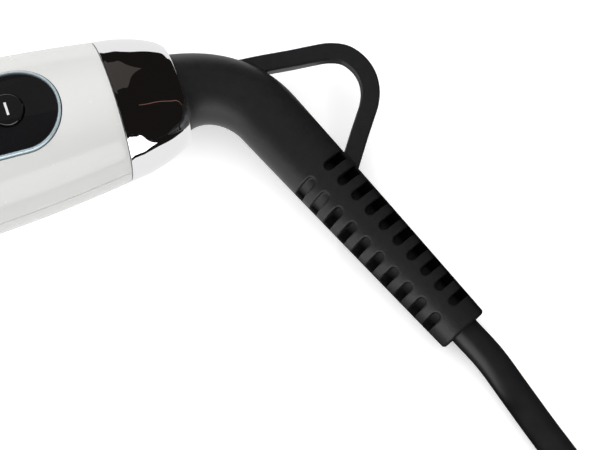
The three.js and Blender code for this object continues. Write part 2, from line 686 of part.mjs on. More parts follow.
// A torsion spring round the pin: one leg presses on the bracket's saddle, the other on the clip's web.
function clipSpring() {
  const radius = PIN_RADIUS + FIT + SPRING_WIRE / 2;
  const span = 2 * (BRACKET_HALF_WIDTH - 1 - SPRING_WIRE);
  const steps = SPRING_TURNS * 10;
  const saddle = BARREL_RADIUS + GAP + 1 + SPRING_WIRE / 2 + GAP;
  const coil = Array.from({ length: steps + 1 }, (_, i) => {
    const angle = -Math.PI / 2 + (2 * Math.PI * SPRING_TURNS * i) / steps;
    const y = -span / 2 + (span * i) / steps;
    return [PIVOT_X + radius * Math.cos(angle), y, PIVOT_Z + radius * Math.sin(angle)];
  });
  const first = [PIVOT_X - 5.5, -span / 2, saddle];
  const last = [PIVOT_X + 5.5, span / 2, saddle];
  return wire(curveThrough([first, ...coil, last]), SPRING_WIRE / 2, steps + 6, 5);
}

// ---------------------------------------------------------------- end ring and swivel
const RING_OUTLINE = [
  [GAP, TAIL_RADIUS - 0.05],
  [4.2, 14.92],
  [7, 14.25],
  [9.8, 13.4],
  [11.8, 12.55],
  [13.2, 11.8],
  [14.1, 11.05],
  [RING_LENGTH, 10.3],
];

function endRing() {
  const lip = RING_LENGTH - RING_LIP;
  const hollow = CORE_FLANGE + FIT;
  const spigot = TAIL_RADIUS - SHELL_WALL - GAP;
  return turned([
    ...RING_OUTLINE,
    [RING_LENGTH, RING_BORE],
    [lip, RING_BORE],
    [lip, hollow],
    [4, hollow],
    [2, spigot - RING_WALL],
    [-RING_SPIGOT, spigot - RING_WALL],
    [-RING_SPIGOT, spigot],
    [GAP, spigot],
    RING_OUTLINE[0],
  ]);
}

const FLANGE_FRONT = RING_LENGTH - RING_LIP - FIT;
const SLIP_RINGS = [
  { name: "slip_ring_live", x: -2.5 },
  { name: "slip_ring_neutral", x: -8 },
];

function swivelCore() {
  const back = FLANGE_FRONT - CORE_FLANGE_WIDTH;
  const body = turned(
    [
      [-CORE_TAIL, 0],
      [-CORE_TAIL, CORE_RADIUS - 0.6],
      [-CORE_TAIL + 0.6, CORE_RADIUS],
      [back - 2, CORE_RADIUS],
      [back, CORE_FLANGE],
      [FLANGE_FRONT, CORE_FLANGE],
      [FLANGE_FRONT, 0],
    ],
    SMALL_ROUND,
  );
  const groove = ring(-CORE_TAIL + 1.4, -CORE_TAIL + 2.4, CORE_RADIUS - 1, CORE_RADIUS + 3, SMALL_ROUND);
  return body.subtract(groove);
}

function slipRing(x) {
  const half = SLIP_RING_WIDTH / 2;
  return ring(x - half, x + half, CORE_RADIUS + GAP, SLIP_RING_RADIUS, SMALL_ROUND);
}

// The clip ring in the core's groove, open on one side.
function swivelCirclip() {
  const made = ring(-CORE_TAIL + 1.6, -CORE_TAIL + 2.2, CORE_RADIUS - 0.7, CORE_RADIUS + 2, SMALL_ROUND);
  return made.subtract(block(-CORE_TAIL, 0, -1.5, 1.5, 0, 20));
}

// The cup in the handle's tail that carries the contact blades and the core's end.
function swivelHousing() {
  const outer = TAIL_RADIUS - SHELL_WALL - GAP - RING_WALL - GAP;
  const wall = 1.4;
  const back = -CORE_TAIL + 3;
  const cup = turned(
    [
      [back, CORE_RADIUS + FIT],
      [back, outer],
      [1.5, outer],
      [1.5, outer - wall],
      [back + wall, outer - wall],
      [back + wall, CORE_RADIUS + FIT],
      [back, CORE_RADIUS + FIT],
    ],
    SMALL_ROUND,
  );
  const windows = SLIP_RINGS.map(({ x }) => block(x - 1.6, x + 1.6, -20, 20, -20, -5));
  const slits = SLIP_RINGS.map(({ x }) => block(x - 1.3, x + 1.3, -1.5, 1.5, 0, 20));
  return cup.subtract(joined([...windows, ...slits]));
}

// A bent blade that rides on a slip ring and is soldered to the board.
function contactBlade(x) {
  const touch = SLIP_RING_RADIUS + GAP;
  const outside = TAIL_RADIUS - SHELL_WALL - 2 * GAP - RING_WALL - 1.4 - GAP;
  const foot = block(x - 1, x + 1, -1.2, 1.2, touch, touch + 0.5);
  const riser = block(x - 1, x - 0.5, -1.2, 1.2, touch, outside - 0.2);
  return foot.add(riser).add(block(x - 1, x + 1, -1.2, 1.2, outside - 0.7, outside - 0.2));
}

// ---------------------------------------------------------------- cord boot
// The boot's path lies in its own XY plane, bending towards -Y; its loop lies in the same plane.
const ARC_LENGTH = ELBOW_RADIUS * ELBOW_ANGLE;
const BOOT_LENGTH = ARC_LENGTH + BOOT_STRAIGHT;
const BOOT_TAIL = ELBOW_START - FLANGE_FRONT - GAP;
const BOOT_WAY = [Math.cos(ELBOW_ANGLE), -Math.sin(ELBOW_ANGLE)];

// The place and the heading at a distance along the boot, from the start of its bend.
function bootPath(s) {
  if (s <= 0) return { x: s, y: 0, heading: 0 };
  const angle = Math.min(s, ARC_LENGTH) / ELBOW_RADIUS;
  const on = Math.max(s - ARC_LENGTH, 0);
  return {
    x: ELBOW_RADIUS * Math.sin(angle) + on * BOOT_WAY[0],
    y: -ELBOW_RADIUS * (1 - Math.cos(angle)) + on * BOOT_WAY[1],
    heading: -angle,
  };
}

// The boot narrows quickly out of the ring, then slowly to its mouth.
function bootRadius(s) {
  if (s < 0) return BOOT_ROOT_RADIUS;
  const settle = Math.exp(-s / 5);
  const early = BOOT_NECK_RADIUS + (BOOT_ROOT_RADIUS - BOOT_NECK_RADIUS) * settle;
  const on = Math.max(s - ARC_LENGTH, 0) / BOOT_STRAIGHT;
  return early + (BOOT_END_RADIUS - BOOT_NECK_RADIUS) * on ** 1.15;
}

// A cylinder whose rings are laid on the boot's path.
function bootBody() {
  const straight = [-BOOT_TAIL, -BOOT_TAIL / 2, 0];
  const bend = Array.from({ length: 9 }, (_, i) => (ARC_LENGTH * (i + 1)) / 9);
  const relief = Array.from({ length: 4 }, (_, i) => ARC_LENGTH + (BOOT_STRAIGHT * (i + 1)) / 4);
  const rings = [...straight, ...bend, ...relief.slice(0, -1), BOOT_LENGTH - 0.5, BOOT_LENGTH];
  const base = new THREE.CylinderGeometry(1, 1, rings.length - 1, 18, rings.length - 1);
  const place = base.attributes.position;
  for (let i = 0; i < place.count; i += 1) {
    const row = Math.round((rings.length - 1) / 2 - place.getY(i));
    const s = rings[row];
    const chamfer = row === rings.length - 1 ? 0.5 : 0;
    const { x, y, heading } = bootPath(s);
    const r = bootRadius(s) - chamfer;
    const [out, up] = [place.getX(i) * r, place.getZ(i) * r];
    place.setXYZ(i, x - out * Math.sin(heading), y + out * Math.cos(heading), up);
  }
  return solid(base);
}

// The frame of the straight relief: X back from the boot's mouth, Z along the spine of the slots.
const MOUTH = bootPath(BOOT_LENGTH);
const RELIEF_FRAME = new THREE.Matrix4()
  .makeTranslation(MOUTH.x, MOUTH.y, 0)
  .multiply(new THREE.Matrix4().makeRotationZ(Math.PI - ELBOW_ANGLE))
  .multiply(new THREE.Matrix4().makeRotationX(SLOT_TURN));

// Pockets on both sides of the spine and on both faces, down to a thin web and to the cord's own tube.
function bootSlots() {
  const far = 12;
  const core = rod("x", CORD_RADIUS + 0.9, -2, BOOT_STRAIGHT, [0, 0, 0], 10);
  const pockets = Array.from({ length: SLOT_COUNT }, (_, i) => SLOT_FROM_END + i * SLOT_PITCH).flatMap((x) =>
    [-1, 1].flatMap((side) => {
      const inner = SPINE_HALF_WIDTH + SLOT_WIDTH / 2;
      const bar = side > 0 ? [inner, far] : [-far, -inner];
      const plan = block(x - SLOT_WIDTH / 2, x + SLOT_WIDTH / 2, ...bar, SLOT_WEB, far);
      const end = rod("z", SLOT_WIDTH / 2, SLOT_WEB, far, [x, side * inner, 0], 8);
      const pocket = plan.add(end);
      return [pocket, moved(pocket, new THREE.Matrix4().makeScale(1, 1, -1))];
    }),
  );
  return moved(joined(pockets).subtract(core), RELIEF_FRAME);
}

// The hanging loop's centre line, from inside the elbow round to inside the relief.
const LOOP_LINE = [
  [13.5, 1.2],
  [18, 0.9],
  [22, 0.5],
  [26, 0.1],
  [30, -0.2],
  [34, -0.7],
  [37.2, -2.1],
  [39.3, -4.8],
  [40.2, -8],
  [39.9, -11.3],
  [38.6, -14.3],
  [36.5, -17.2],
  [34.1, -20.4],
  [31.8, -23.6],
  [28.8, -27.8],
];

// A strap of even width along the loop's line, a little narrower at its faces.
function hangingLoop() {
  const line = new THREE.SplineCurve(LOOP_LINE.map(([x, y]) => new THREE.Vector2(x, y)));
  const steps = 24;
  const points = line.getSpacedPoints(steps);
  const edge = (half) =>
    points.map((point, i) => {
      const along = line.getTangentAt(i / steps);
      return [point.x - along.y * half, point.y + along.x * half];
    });
  const half = LOOP_WIDTH / 2;
  const strap = (narrow) => outline([...edge(half - narrow), ...edge(narrow - half).reverse()]);
  const face = LOOP_THICKNESS / 2;
  const wide = plate(strap(0), -face + 0.4, face - 0.4);
  return wide.add(plate(strap(0.4), -face, face));
}

function cordBoot() {
  return bootBody().subtract(bootSlots()).add(hangingLoop());
}

// The boot is turned on the handle's axis until its mouth just clears the table.
const BOOT_ROLL = Math.asin(
  (SEAM_HEIGHT -
    (ELBOW_START + MOUTH.x) * Math.sin(TILT) -
    BOOT_END_RADIUS -
    BOOT_CLEARANCE) /
    (-MOUTH.y * Math.cos(TILT)),
);

// ---------------------------------------------------------------- cord and plug
// Both stretches of cord are drawn from the point on the table under the boot's mouth.
const COIL_X = COIL_CENTRE[0] + COIL_STRAND;
const COIL_Y = COIL_CENTRE[1] - COIL_STRAND;

function cordLead(mouthHeight, heading) {
  const route = [
    [heading.x * GAP, heading.y * GAP, mouthHeight],
    [heading.x * 8, heading.y * 8, mouthHeight - 0.8],
    [5.6, -15.3, 4],
    [8.2, -24.5, CORD_LEVEL],
    [11, -34, CORD_LEVEL],
    [13.6, -42.5, CORD_LEVEL],
    [15.4, -49.5, CORD_LEVEL],
    [COIL_X, -54, CORD_LEVEL],
    [COIL_X, COIL_CENTRE[1] + COIL_STUB + GAP, CORD_LEVEL],
  ];
  return wire(curveThrough(route), CORD_RADIUS, 8, 12);
}

function cordCoil() {
  const inner = COIL_RADIUS - COIL_HALF_WIDTH;
  const outer = COIL_RADIUS + COIL_HALF_WIDTH;
  const section = [
    [inner, 2],
    [inner, COIL_HEIGHT - 2],
    [inner + 2, COIL_HEIGHT],
    [outer - 2, COIL_HEIGHT],
    [outer, COIL_HEIGHT - 2],
    [outer, 2],
    [outer - 2, 0],
    [inner + 2, 0],
    [inner, 2],
  ].map(([r, z]) => new THREE.Vector2(r, z));
  const body = solid(new THREE.LatheGeometry(section, ROUND).rotateX(Math.PI / 2));
  const stub = CORD_RADIUS - 0.1;
  const entry = rod("y", stub, 3, COIL_STUB, [COIL_STRAND, 0, CORD_LEVEL], 12);
  const exit = rod("x", stub, -COIL_STUB, -3, [0, -COIL_STRAND, CORD_LEVEL], 12);
  const under = TIE_THICKNESS + 2 * GAP;
  const notch = block(-outer - 1, -inner + 1, -TIE_WIDTH / 2 - GAP, TIE_WIDTH / 2 + GAP, -1, under);
  return joined([body, entry, exit]).subtract(notch);
}

// A strap round the coil's turns, on the side away from the iron's cord end.
function cordTie() {
  const inner = COIL_RADIUS - COIL_HALF_WIDTH - GAP;
  const outer = COIL_RADIUS + COIL_HALF_WIDTH + GAP;
  const half = TIE_WIDTH / 2;
  const t = TIE_THICKNESS;
  const inside = -Math.sqrt(inner ** 2 - half ** 2); // clear of the ring's inner face at the strap's edges
  const band = block(-outer - t, inside + t, -half, half, GAP / 2, COIL_HEIGHT + GAP + t);
  return band.subtract(
    block(-outer, inside, -half - 1, half + 1, GAP / 2 + t, COIL_HEIGHT + GAP),
  );
}

function cordTail(entry, heading) {
  const before = (...places) =>
    places.map(([back, z]) => [entry.x - heading.x * back, entry.y - heading.y * back, z]);
  const route = [
    [COIL_CENTRE[0] - COIL_STUB - GAP, COIL_Y, CORD_LEVEL],
    [-78, COIL_Y, CORD_LEVEL],
    [-92, -140.8, CORD_LEVEL],
    [-105, -136.8, CORD_LEVEL],
    [-118, -129.8, CORD_LEVEL],
    [-130, -121.2, CORD_LEVEL],
    [-143, -112.2, CORD_LEVEL],
    ...before([26, CORD_LEVEL], [14, CORD_LEVEL + 1.3], [5, entry.z - 0.1], [GAP, entry.z]),
  ];
  return wire(curveThrough(route), CORD_RADIUS, 16, 12);
}

// The plug lies flat, drawn from the middle of its cord entry along +X.
function plugBody() {
  const end = RELIEF_LENGTH + PLUG_LENGTH;
  const plan = outline([
    [RELIEF_LENGTH - 4, -PLUG_NECK],
    [RELIEF_LENGTH + 8, -PLUG_NECK - 2.4],
    [RELIEF_LENGTH + 17, -PLUG_HALF_WIDTH],
    [end - 1, -PLUG_HALF_WIDTH - 0.4],
    [end, -PLUG_HALF_WIDTH + 0.4],
    [end, PLUG_HALF_WIDTH - 0.4],
    [end - 1, PLUG_HALF_WIDTH + 0.4],
    [RELIEF_LENGTH + 17, PLUG_HALF_WIDTH],
    [RELIEF_LENGTH + 8, PLUG_NECK + 2.4],
    [RELIEF_LENGTH - 4, PLUG_NECK],
  ]);
  const half = PLUG_THICKNESS / 2;
  const side = outline([
    [RELIEF_LENGTH - 5, -PLUG_NECK],
    [RELIEF_LENGTH + 12, -half],
    [end + 1, -half],
    [end + 1, half],
    [RELIEF_LENGTH + 12, half],
    [RELIEF_LENGTH - 5, PLUG_NECK],
  ]);
  const body = plate(plan, -half, half).intersect(sidePlate(side, -30, 30));
  const relief = turned(
    [
      [0, 0],
      [0, CORD_RADIUS + 0.5],
      [RELIEF_LENGTH, PLUG_NECK + 0.2],
      [RELIEF_LENGTH, 0],
    ],
    20,
  );
  const bores = [-1, 1].map((way) =>
    rod("x", PLUG_PIN_RADIUS + GAP, end - 7, end + 1, [0, (way * PIN_PITCH) / 2, 0], 16),
  );
  return body.add(relief).subtract(joined(bores));
}

function plugPin(way) {
  const end = RELIEF_LENGTH + PLUG_LENGTH;
  const y = (way * PIN_PITCH) / 2;
  const neck = rod("x", PLUG_PIN_RADIUS - 0.8, end - 6, end + SLEEVE_LENGTH + 2, [0, y, 0], 16);
  const bare = turned(
    [
      [end + SLEEVE_LENGTH + GAP, 0],
      [end + SLEEVE_LENGTH + GAP, PLUG_PIN_RADIUS],
      [end + PLUG_PIN_LENGTH - 1.2, PLUG_PIN_RADIUS],
      [end + PLUG_PIN_LENGTH, PLUG_PIN_RADIUS - 1],
      [end + PLUG_PIN_LENGTH, 0],
    ],
    16,
  );
  return neck.add(moved(bare, new THREE.Matrix4().makeTranslation(0, y, 0)));
}

function pinSleeve(way) {
  const end = RELIEF_LENGTH + PLUG_LENGTH;
  const made = ring(end - 6, end + SLEEVE_LENGTH, PLUG_PIN_RADIUS - 0.8 + GAP, SLEEVE_RADIUS, 16);
  return moved(made, new THREE.Matrix4().makeTranslation(0, (way * PIN_PITCH) / 2, 0));
}

// ---------------------------------------------------------------- assembly
const iron = new THREE.Group();
iron.rotation.y = TILT;
iron.position.z = SEAM_HEIGHT;
iron.add(
  mesh("barrel_tube", barrelTube(), POLISHED_STEEL),
  mesh("heat_spreader_upper", heatSpreader(1), ALUMINIUM),
  mesh("heat_spreader_lower", heatSpreader(-1), ALUMINIUM),
  mesh("ptc_heater", ptcHeater(), CERAMIC),
  mesh("thermistor", thermistor(), CERAMIC),
  mesh("thermal_fuse", thermalFuse(), POLISHED_STEEL),
  mesh("cool_tip", coolTip(), BLACK_PLASTIC),
  mesh("heater_lead_live", heaterLead(-1), WIRE_RED),
  mesh("heater_lead_neutral", heaterLead(1), WIRE_RED),
  mesh("front_collar", frontCollar(), BLACK_PLASTIC),
  mesh("handle_shell_upper", handleShellUpper(), WHITE_PLASTIC),
  mesh("handle_shell_lower", handleShellLower(), WHITE_PLASTIC),
  ...SCREWS.map((screw) => mesh(screw.name, handleScrew(screw), SPRING_STEEL)),
  mesh("panel_bezel", panelBezel(), CHROME),
  mesh("panel_lens", panelLens(), BLACK_GLOSS),
  ...KEYS.map((key) => mesh(key.name, button(key), BLACK_GLOSS)),
  ...KEYS.map((key) => mesh(key.name.replace("button", "switch"), keySwitch(key), GREY_PLASTIC)),
  mesh("display_module", displayModule(), GREY_PLASTIC),
  mesh("control_board", controlBoard(), BOARD_GREEN),
  mesh("clip_bracket", clipBracket(), POLISHED_STEEL),
  mesh("clip_pin", clipPin(), SPRING_STEEL),
  mesh("clip_spring", clipSpring(), SPRING_STEEL),
  mesh("clip_plate", clipPlate(), POLISHED_STEEL),
  mesh("end_ring", endRing(), CHROME),
  mesh("swivel_housing", swivelHousing(), BLACK_PLASTIC),
  ...SLIP_RINGS.map(({ name, x }) =>
    mesh(name.replace("slip_ring", "contact_blade"), contactBlade(x), BRASS),
  ),
);

const lever = new THREE.Group();
lever.applyMatrix4(LEVER_FRAME);
lever.add(
  mesh("thumb_lever", thumbLever(), BLACK_PLASTIC),
  mesh("lever_rivet_front", leverRivet(LEVER_RIVETS[0]), SPRING_STEEL),
  mesh("lever_rivet_rear", leverRivet(LEVER_RIVETS[1]), SPRING_STEEL),
);

const stand = new THREE.Group();
stand.position.set(STAND_X, 0, -STAND_PIVOT_DROP);
stand.rotation.y = -TILT;
stand.add(
  mesh("stand_frame", standFrame(), POLISHED_STEEL),
  mesh("stand_foot_pad", standFootPad(), BLACK_RUBBER),
  mesh("stand_rivet_left", standRivet(-1), SPRING_STEEL),
  mesh("stand_rivet_right", standRivet(1), SPRING_STEEL),
);

const swivel = new THREE.Group();
swivel.rotation.x = BOOT_ROLL;
const boot = mesh("cord_boot", cordBoot(), BLACK_RUBBER);
boot.position.x = ELBOW_START;
swivel.add(
  mesh("swivel_core", swivelCore(), BLACK_PLASTIC),
  mesh("swivel_circlip", swivelCirclip(), SPRING_STEEL),
  ...SLIP_RINGS.map(({ name, x }) => mesh(name, slipRing(x), BRASS)),
  boot,
);
iron.add(lever, stand, swivel);

// The origin goes under the middle of the iron, its boot and its stand.
iron.updateMatrixWorld(true);
const middle = new THREE.Box3().setFromObject(iron, true).getCenter(new THREE.Vector3());
iron.position.x -= middle.x;
iron.position.y -= middle.y;
iron.updateMatrixWorld(true);

const mouth = boot.localToWorld(new THREE.Vector3(MOUTH.x, MOUTH.y, 0));
const mouthWay = new THREE.Vector3(...BOOT_WAY, 0).transformDirection(boot.matrixWorld);

const cord = new THREE.Group();
cord.position.set(mouth.x, mouth.y, 0);
const coil = new THREE.Group();
coil.position.set(...COIL_CENTRE, 0);
coil.add(mesh("cord_coil", cordCoil(), BLACK_RUBBER), mesh("cord_tie", cordTie(), BLACK_RUBBER));

const plug = new THREE.Group();
const plugWay = new THREE.Vector3(-1, 0.3, 0).normalize();
plug.position.set(-184, -96, PLUG_THICKNESS / 2);
plug.rotation.z = Math.atan2(plugWay.y, plugWay.x);
plug.add(
  mesh("plug_body", plugBody(), BLACK_PLASTIC),
  mesh("plug_pin_live", plugPin(-1), POLISHED_STEEL),
  mesh("plug_pin_neutral", plugPin(1), POLISHED_STEEL),
  mesh("pin_sleeve_live", pinSleeve(-1), BLACK_PLASTIC),
  mesh("pin_sleeve_neutral", pinSleeve(1), BLACK_PLASTIC),
);
cord.add(
  mesh("cord_lead", cordLead(mouth.z, mouthWay), BLACK_RUBBER),
  mesh("cord_tail", cordTail(plug.position, plugWay), BLACK_RUBBER),
  coil,
  plug,
);

const curlingIron = new THREE.Group();
curlingIron.add(iron, cord);
export default curlingIron;
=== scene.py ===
# %% [markdown]
# # A curling iron on its stand
#
# This lesson dresses a packed engineering model of a curling iron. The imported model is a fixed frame: it
# says where each part is, what it is called and what it moves with. Everything here is built round it, in
# metres, and each new piece rides on one of its bodies.
#
# The frame could be traced by eye, but then a piece would be left behind whenever a joint moves. Loading
# it first, and reading every place from it, keeps the looks and the mechanism together.

# %% The frame
import json
import math

import bmesh
import bpy
from mathutils import Matrix, Vector


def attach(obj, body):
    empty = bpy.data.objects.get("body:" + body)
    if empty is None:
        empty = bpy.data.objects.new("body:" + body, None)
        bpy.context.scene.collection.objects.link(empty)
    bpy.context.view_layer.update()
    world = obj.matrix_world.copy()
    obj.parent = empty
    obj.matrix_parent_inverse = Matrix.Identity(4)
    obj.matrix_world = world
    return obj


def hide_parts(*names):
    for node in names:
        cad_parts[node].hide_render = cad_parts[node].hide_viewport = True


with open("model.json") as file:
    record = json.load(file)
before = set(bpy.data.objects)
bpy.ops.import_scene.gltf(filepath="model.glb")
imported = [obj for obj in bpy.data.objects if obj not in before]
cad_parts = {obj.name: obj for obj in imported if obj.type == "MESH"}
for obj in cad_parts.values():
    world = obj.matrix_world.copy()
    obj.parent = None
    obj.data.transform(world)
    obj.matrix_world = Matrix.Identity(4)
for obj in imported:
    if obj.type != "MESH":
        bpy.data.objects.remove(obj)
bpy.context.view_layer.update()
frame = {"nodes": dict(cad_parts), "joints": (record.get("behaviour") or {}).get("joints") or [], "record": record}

joints = {joint["name"]: joint for joint in frame["joints"]}

# %% [markdown]
# ## Two coordinate systems
#
# The iron lies tilted: its tail rests on the table and its stand props up the barrel. Drawing a round
# handle on a slope would be awkward, so its pieces are drawn in the handle's own frame, with X along its
# axis and 0 at the seam before the chrome ring, and are placed by one matrix. The swivel joint already
# knows that axis.
#
# The rubber boot turns on the same axis, and is rolled until its mouth just clears the table. Its own
# frame starts where its elbow starts.

# %% Frames and sizes
MM = 0.001
GAP = 0.3
BARREL_RADIUS = 12.5
BARREL_LENGTH = 162
HANDLE_LENGTH = 150
TAIL_RADIUS = 15.4
CORD_RADIUS = 3.4
ELBOW_START = 15.5
ELBOW_RADIUS = 18
ELBOW_ANGLE = math.radians(66.5)
BOOT_STRAIGHT = 62
BOOT_END_RADIUS = 5.7
BOOT_CLEARANCE = 0.35

swivel = joints["cord_swivel"]
along = Vector(swivel["axis"]).normalized()
across = Vector((0, 1, 0))
turned_to_iron = Matrix((along, across, along.cross(across))).transposed().to_4x4()
IRON = Matrix.Translation(swivel["pos_m"]) @ turned_to_iron
TILT = math.asin(-along.z)
ARC_LENGTH = ELBOW_RADIUS * ELBOW_ANGLE
BOOT_LENGTH = ARC_LENGTH + BOOT_STRAIGHT
MOUTH = Vector((
    ELBOW_RADIUS * math.sin(ELBOW_ANGLE) + BOOT_STRAIGHT * math.cos(ELBOW_ANGLE),
    -ELBOW_RADIUS * (1 - math.cos(ELBOW_ANGLE)) - BOOT_STRAIGHT * math.sin(ELBOW_ANGLE),
    0,
))
drop = IRON.translation.z / MM - (ELBOW_START + MOUTH.x) * math.sin(TILT) - BOOT_END_RADIUS - BOOT_CLEARANCE
BOOT_ROLL = math.asin(drop / (-MOUTH.y * math.cos(TILT)))
BOOT = IRON @ Matrix.Rotation(BOOT_ROLL, 4, "X") @ Matrix.Translation((ELBOW_START * MM, 0, 0))
mouth_point = BOOT @ (MOUTH * MM)
mouth_way = (BOOT.to_3x3() @ Vector((math.cos(ELBOW_ANGLE), -math.sin(ELBOW_ANGLE), 0))).normalized()
print("tilt %.1f degrees, boot rolled %.1f" % (math.degrees(TILT), math.degrees(BOOT_ROLL)))

# %% [markdown]
# ## The camera
#
# The camera looks down steeply on the cord end, from the far side of the elbow, with a long lens, to keep
# the shapes free of perspective. A short lens close up would swell the ring. The lens sits on a line
# through a point between the ring and the boot.

# %% Camera
CAMERA_AZIMUTH = math.radians(-19.157)
CAMERA_ELEVATION = math.radians(74)
CAMERA_DISTANCE = 0.4
CAMERA_LENS = 112.8
TARGET_FROM_RING = Vector((0.0305, -0.0354, -0.0055))
NEAREST_SEEN = 0.01


def linked(name, data):
    """A new object in the scene that holds this data."""
    made = bpy.data.objects.new(name, data)
    bpy.context.scene.collection.objects.link(made)
    return made


def direction(azimuth, elevation):
    """A unit vector, with its azimuth counted from -Y towards +X."""
    flat = math.cos(elevation)
    return Vector((math.sin(azimuth) * flat, -math.cos(azimuth) * flat, math.sin(elevation)))


back = direction(CAMERA_AZIMUTH, CAMERA_ELEVATION)
camera = linked("camera", bpy.data.cameras.new("camera"))
camera.data.lens = CAMERA_LENS
camera.data.clip_start = NEAREST_SEEN
camera.location = IRON.translation + TARGET_FROM_RING + back * CAMERA_DISTANCE
camera.rotation_mode = "QUATERNION"
camera.rotation_quaternion = (-back).to_track_quat("-Z", "Y")
bpy.context.scene.camera = camera
bpy.context.scene.view_settings.view_transform = "Standard"
print("the camera stands at", [round(x, 3) for x in camera.location])

# %% [markdown]
# ## Shader maths as expressions
#
# A finish is a small sum: a base colour, plus some grain, less a little wear. Dragging Math nodes by hand
# makes such a sum hard to read. Here one class wraps an output socket, and the usual operators on it add
# the nodes, so that the finish reads as the sum it is. Colours and vectors go through Mix and Vector Math
# nodes, because a Math node would turn a colour grey.

# %% A socket with operators
class Signal:
    """One output socket of a material's nodes."""

    def __init__(self, tree, socket):
        self.tree = tree
        self.socket = socket

    def node(self, kind, settings=None, links=None, output=0):
        """Any node: its type, its settings, then the values or links of its inputs."""
        made = self.tree.nodes.new("ShaderNode" + kind)
        for name, value in (settings or {}).items():
            setattr(made, name, value)
        for name, value in (links or {}).items():
            self.feed(made.inputs[name], value)
        return Signal(self.tree, made.outputs[output])

    def feed(self, target_socket, value):
        if isinstance(value, Signal):
            self.tree.links.new(value.socket, target_socket)
        else:
            target_socket.default_value = value

    def maths(self, operation, first, second=0.0):
        return self.node("Math", {"operation": operation}, {0: first, 1: second})

    def __add__(self, other):
        return self.maths("ADD", self, other)

    __radd__ = __add__

    def __sub__(self, other):
        return self.maths("SUBTRACT", self, other)

    def __rsub__(self, other):
        return self.maths("SUBTRACT", other, self)

    def __mul__(self, other):
        return self.maths("MULTIPLY", self, other)

    __rmul__ = __mul__

    def ramp(self, low, high):
        """0 below low, 1 above high, and smooth between them."""
        links = {"Value": self, "From Min": low, "From Max": high}
        return self.node("MapRange", {"interpolation_type": "SMOOTHSTEP"}, links)

    def between(self, first, second):
        """A colour from first, where this is 0, to second, where it is 1."""
        links = {"Factor": self, 6: (*first, 1), 7: (*second, 1)}
        return self.node("Mix", {"data_type": "RGBA"}, links, output=2)

    def vector_maths(self, operation, other=(0, 0, 0), output=0):
        return self.node("VectorMath", {"operation": operation}, {0: self, 1: other}, output)

    def stretched(self, x, y, z):
        return self.vector_maths("MULTIPLY", (x, y, z))

    def noise(self, size, detail=2.0, roughness=0.5):
        """Noise with features of that size in millimetres, from 0 to 1."""
        links = {"Vector": self, "Scale": 1 / size, "Detail": detail, "Roughness": roughness}
        return self.node("TexNoise", None, links)

    def cells(self, size, feature="F1"):
        links = {"Vector": self, "Scale": 1 / size}
        return self.node("TexVoronoi", {"feature": feature}, links)

    def wave(self, size, axis):
        """Bands of that size. The texture has about 3.2 bands in a unit."""
        links = {"Vector": self, "Scale": 1 / size / 3.2}
        return self.node("TexWave", {"bands_direction": axis}, links, output=1)

# %% [markdown]
# ## One recipe for every finish
#
# A finish starts from the same few steps: a Principled shader, its even values set on its own sockets, and
# the piece's own coordinates in millimetres, so that grain has a real size on every piece. What varies
# over the surface is then added by a short function for each finish.

# %% A finish from its parts
def finish(name, colour, roughness, metallic=0.0, coat=0.0, coat_roughness=0.1, pattern=None):
    """A material. pattern takes a place in millimetres and returns what varies there, by socket."""
    material = bpy.data.materials.new(name)
    material.use_nodes = True
    tree = material.node_tree
    shader = tree.nodes["Principled BSDF"]
    shader.inputs["Base Color"].default_value = (*colour, 1)
    shader.inputs["Roughness"].default_value = roughness
    shader.inputs["Metallic"].default_value = metallic
    shader.inputs["Coat Weight"].default_value = coat
    shader.inputs["Coat Roughness"].default_value = coat_roughness
    material.diffuse_color = (*colour, 1)
    coordinates = tree.nodes.new("ShaderNodeTexCoord")
    place = Signal(tree, coordinates.outputs["Object"]).stretched(1000, 1000, 1000)
    varies = pattern(place)
    for socket, signal in varies.items():
        if socket == "Height":
            height, depth = signal
            links = {"Height": height, "Strength": 1.0, "Distance": depth * MM}
            signal = place.node("Bump", None, links)
            socket = "Normal"
        place.feed(shader.inputs[socket], signal)
    print("finish", name, "varies in", ", ".join(varies))
    return material


def one_grain(grain, colours, rough, more_rough, depth=None):
    """What varies where one grain drives it all: the colours, the roughness and the height."""
    varies = {"Roughness": rough + grain * more_rough}
    if colours:
        varies["Base Color"] = grain.between(*colours)
    if depth:
        varies["Height"] = (grain, depth)
    return varies

# %% [markdown]
# ## White plastic
#
# The handle is moulded in glossy white plastic. Such a skin isn't perfectly flat: it sinks a little over
# its ribs, and its gloss has a faint unevenness. A plain white shader would look like paper, so a long,
# very low wave bends the reflections, and a finer noise changes the roughness.

# %% White plastic
WHITE = (0.67, 0.67, 0.655)


def white_skin(place):
    clouds = place.noise(26, 3)
    fine = place.noise(1.4, 2)
    return {
        "Base Color": clouds.ramp(0.3, 0.7).between((0.655, 0.655, 0.64), WHITE),
        "Roughness": 0.2 + fine * 0.1,
        "Height": (place.noise(14, 2) + fine * 0.02, 0.03),
    }


white_plastic = finish("white_plastic", WHITE, 0.26, coat=0.35, coat_roughness=0.06, pattern=white_skin)

# %% [markdown]
# ## Chrome and steel
#
# The end ring is plated: a mirror with the slightest ripple, and a trace of haze where fingers touch it.
# The barrel, the clip and the stand are steel. The barrel was polished while it turned, so its fine lines
# run round it, and the clip's lines run along it. Both are noise that is stretched in one direction.

# %% Chrome and steel
def chrome_skin(place):
    haze = place.noise(5, 3).ramp(0.55, 0.8)
    return {
        "Roughness": 0.035 + haze * 0.03,
        "Height": (place.noise(7, 1), 0.006),
    }


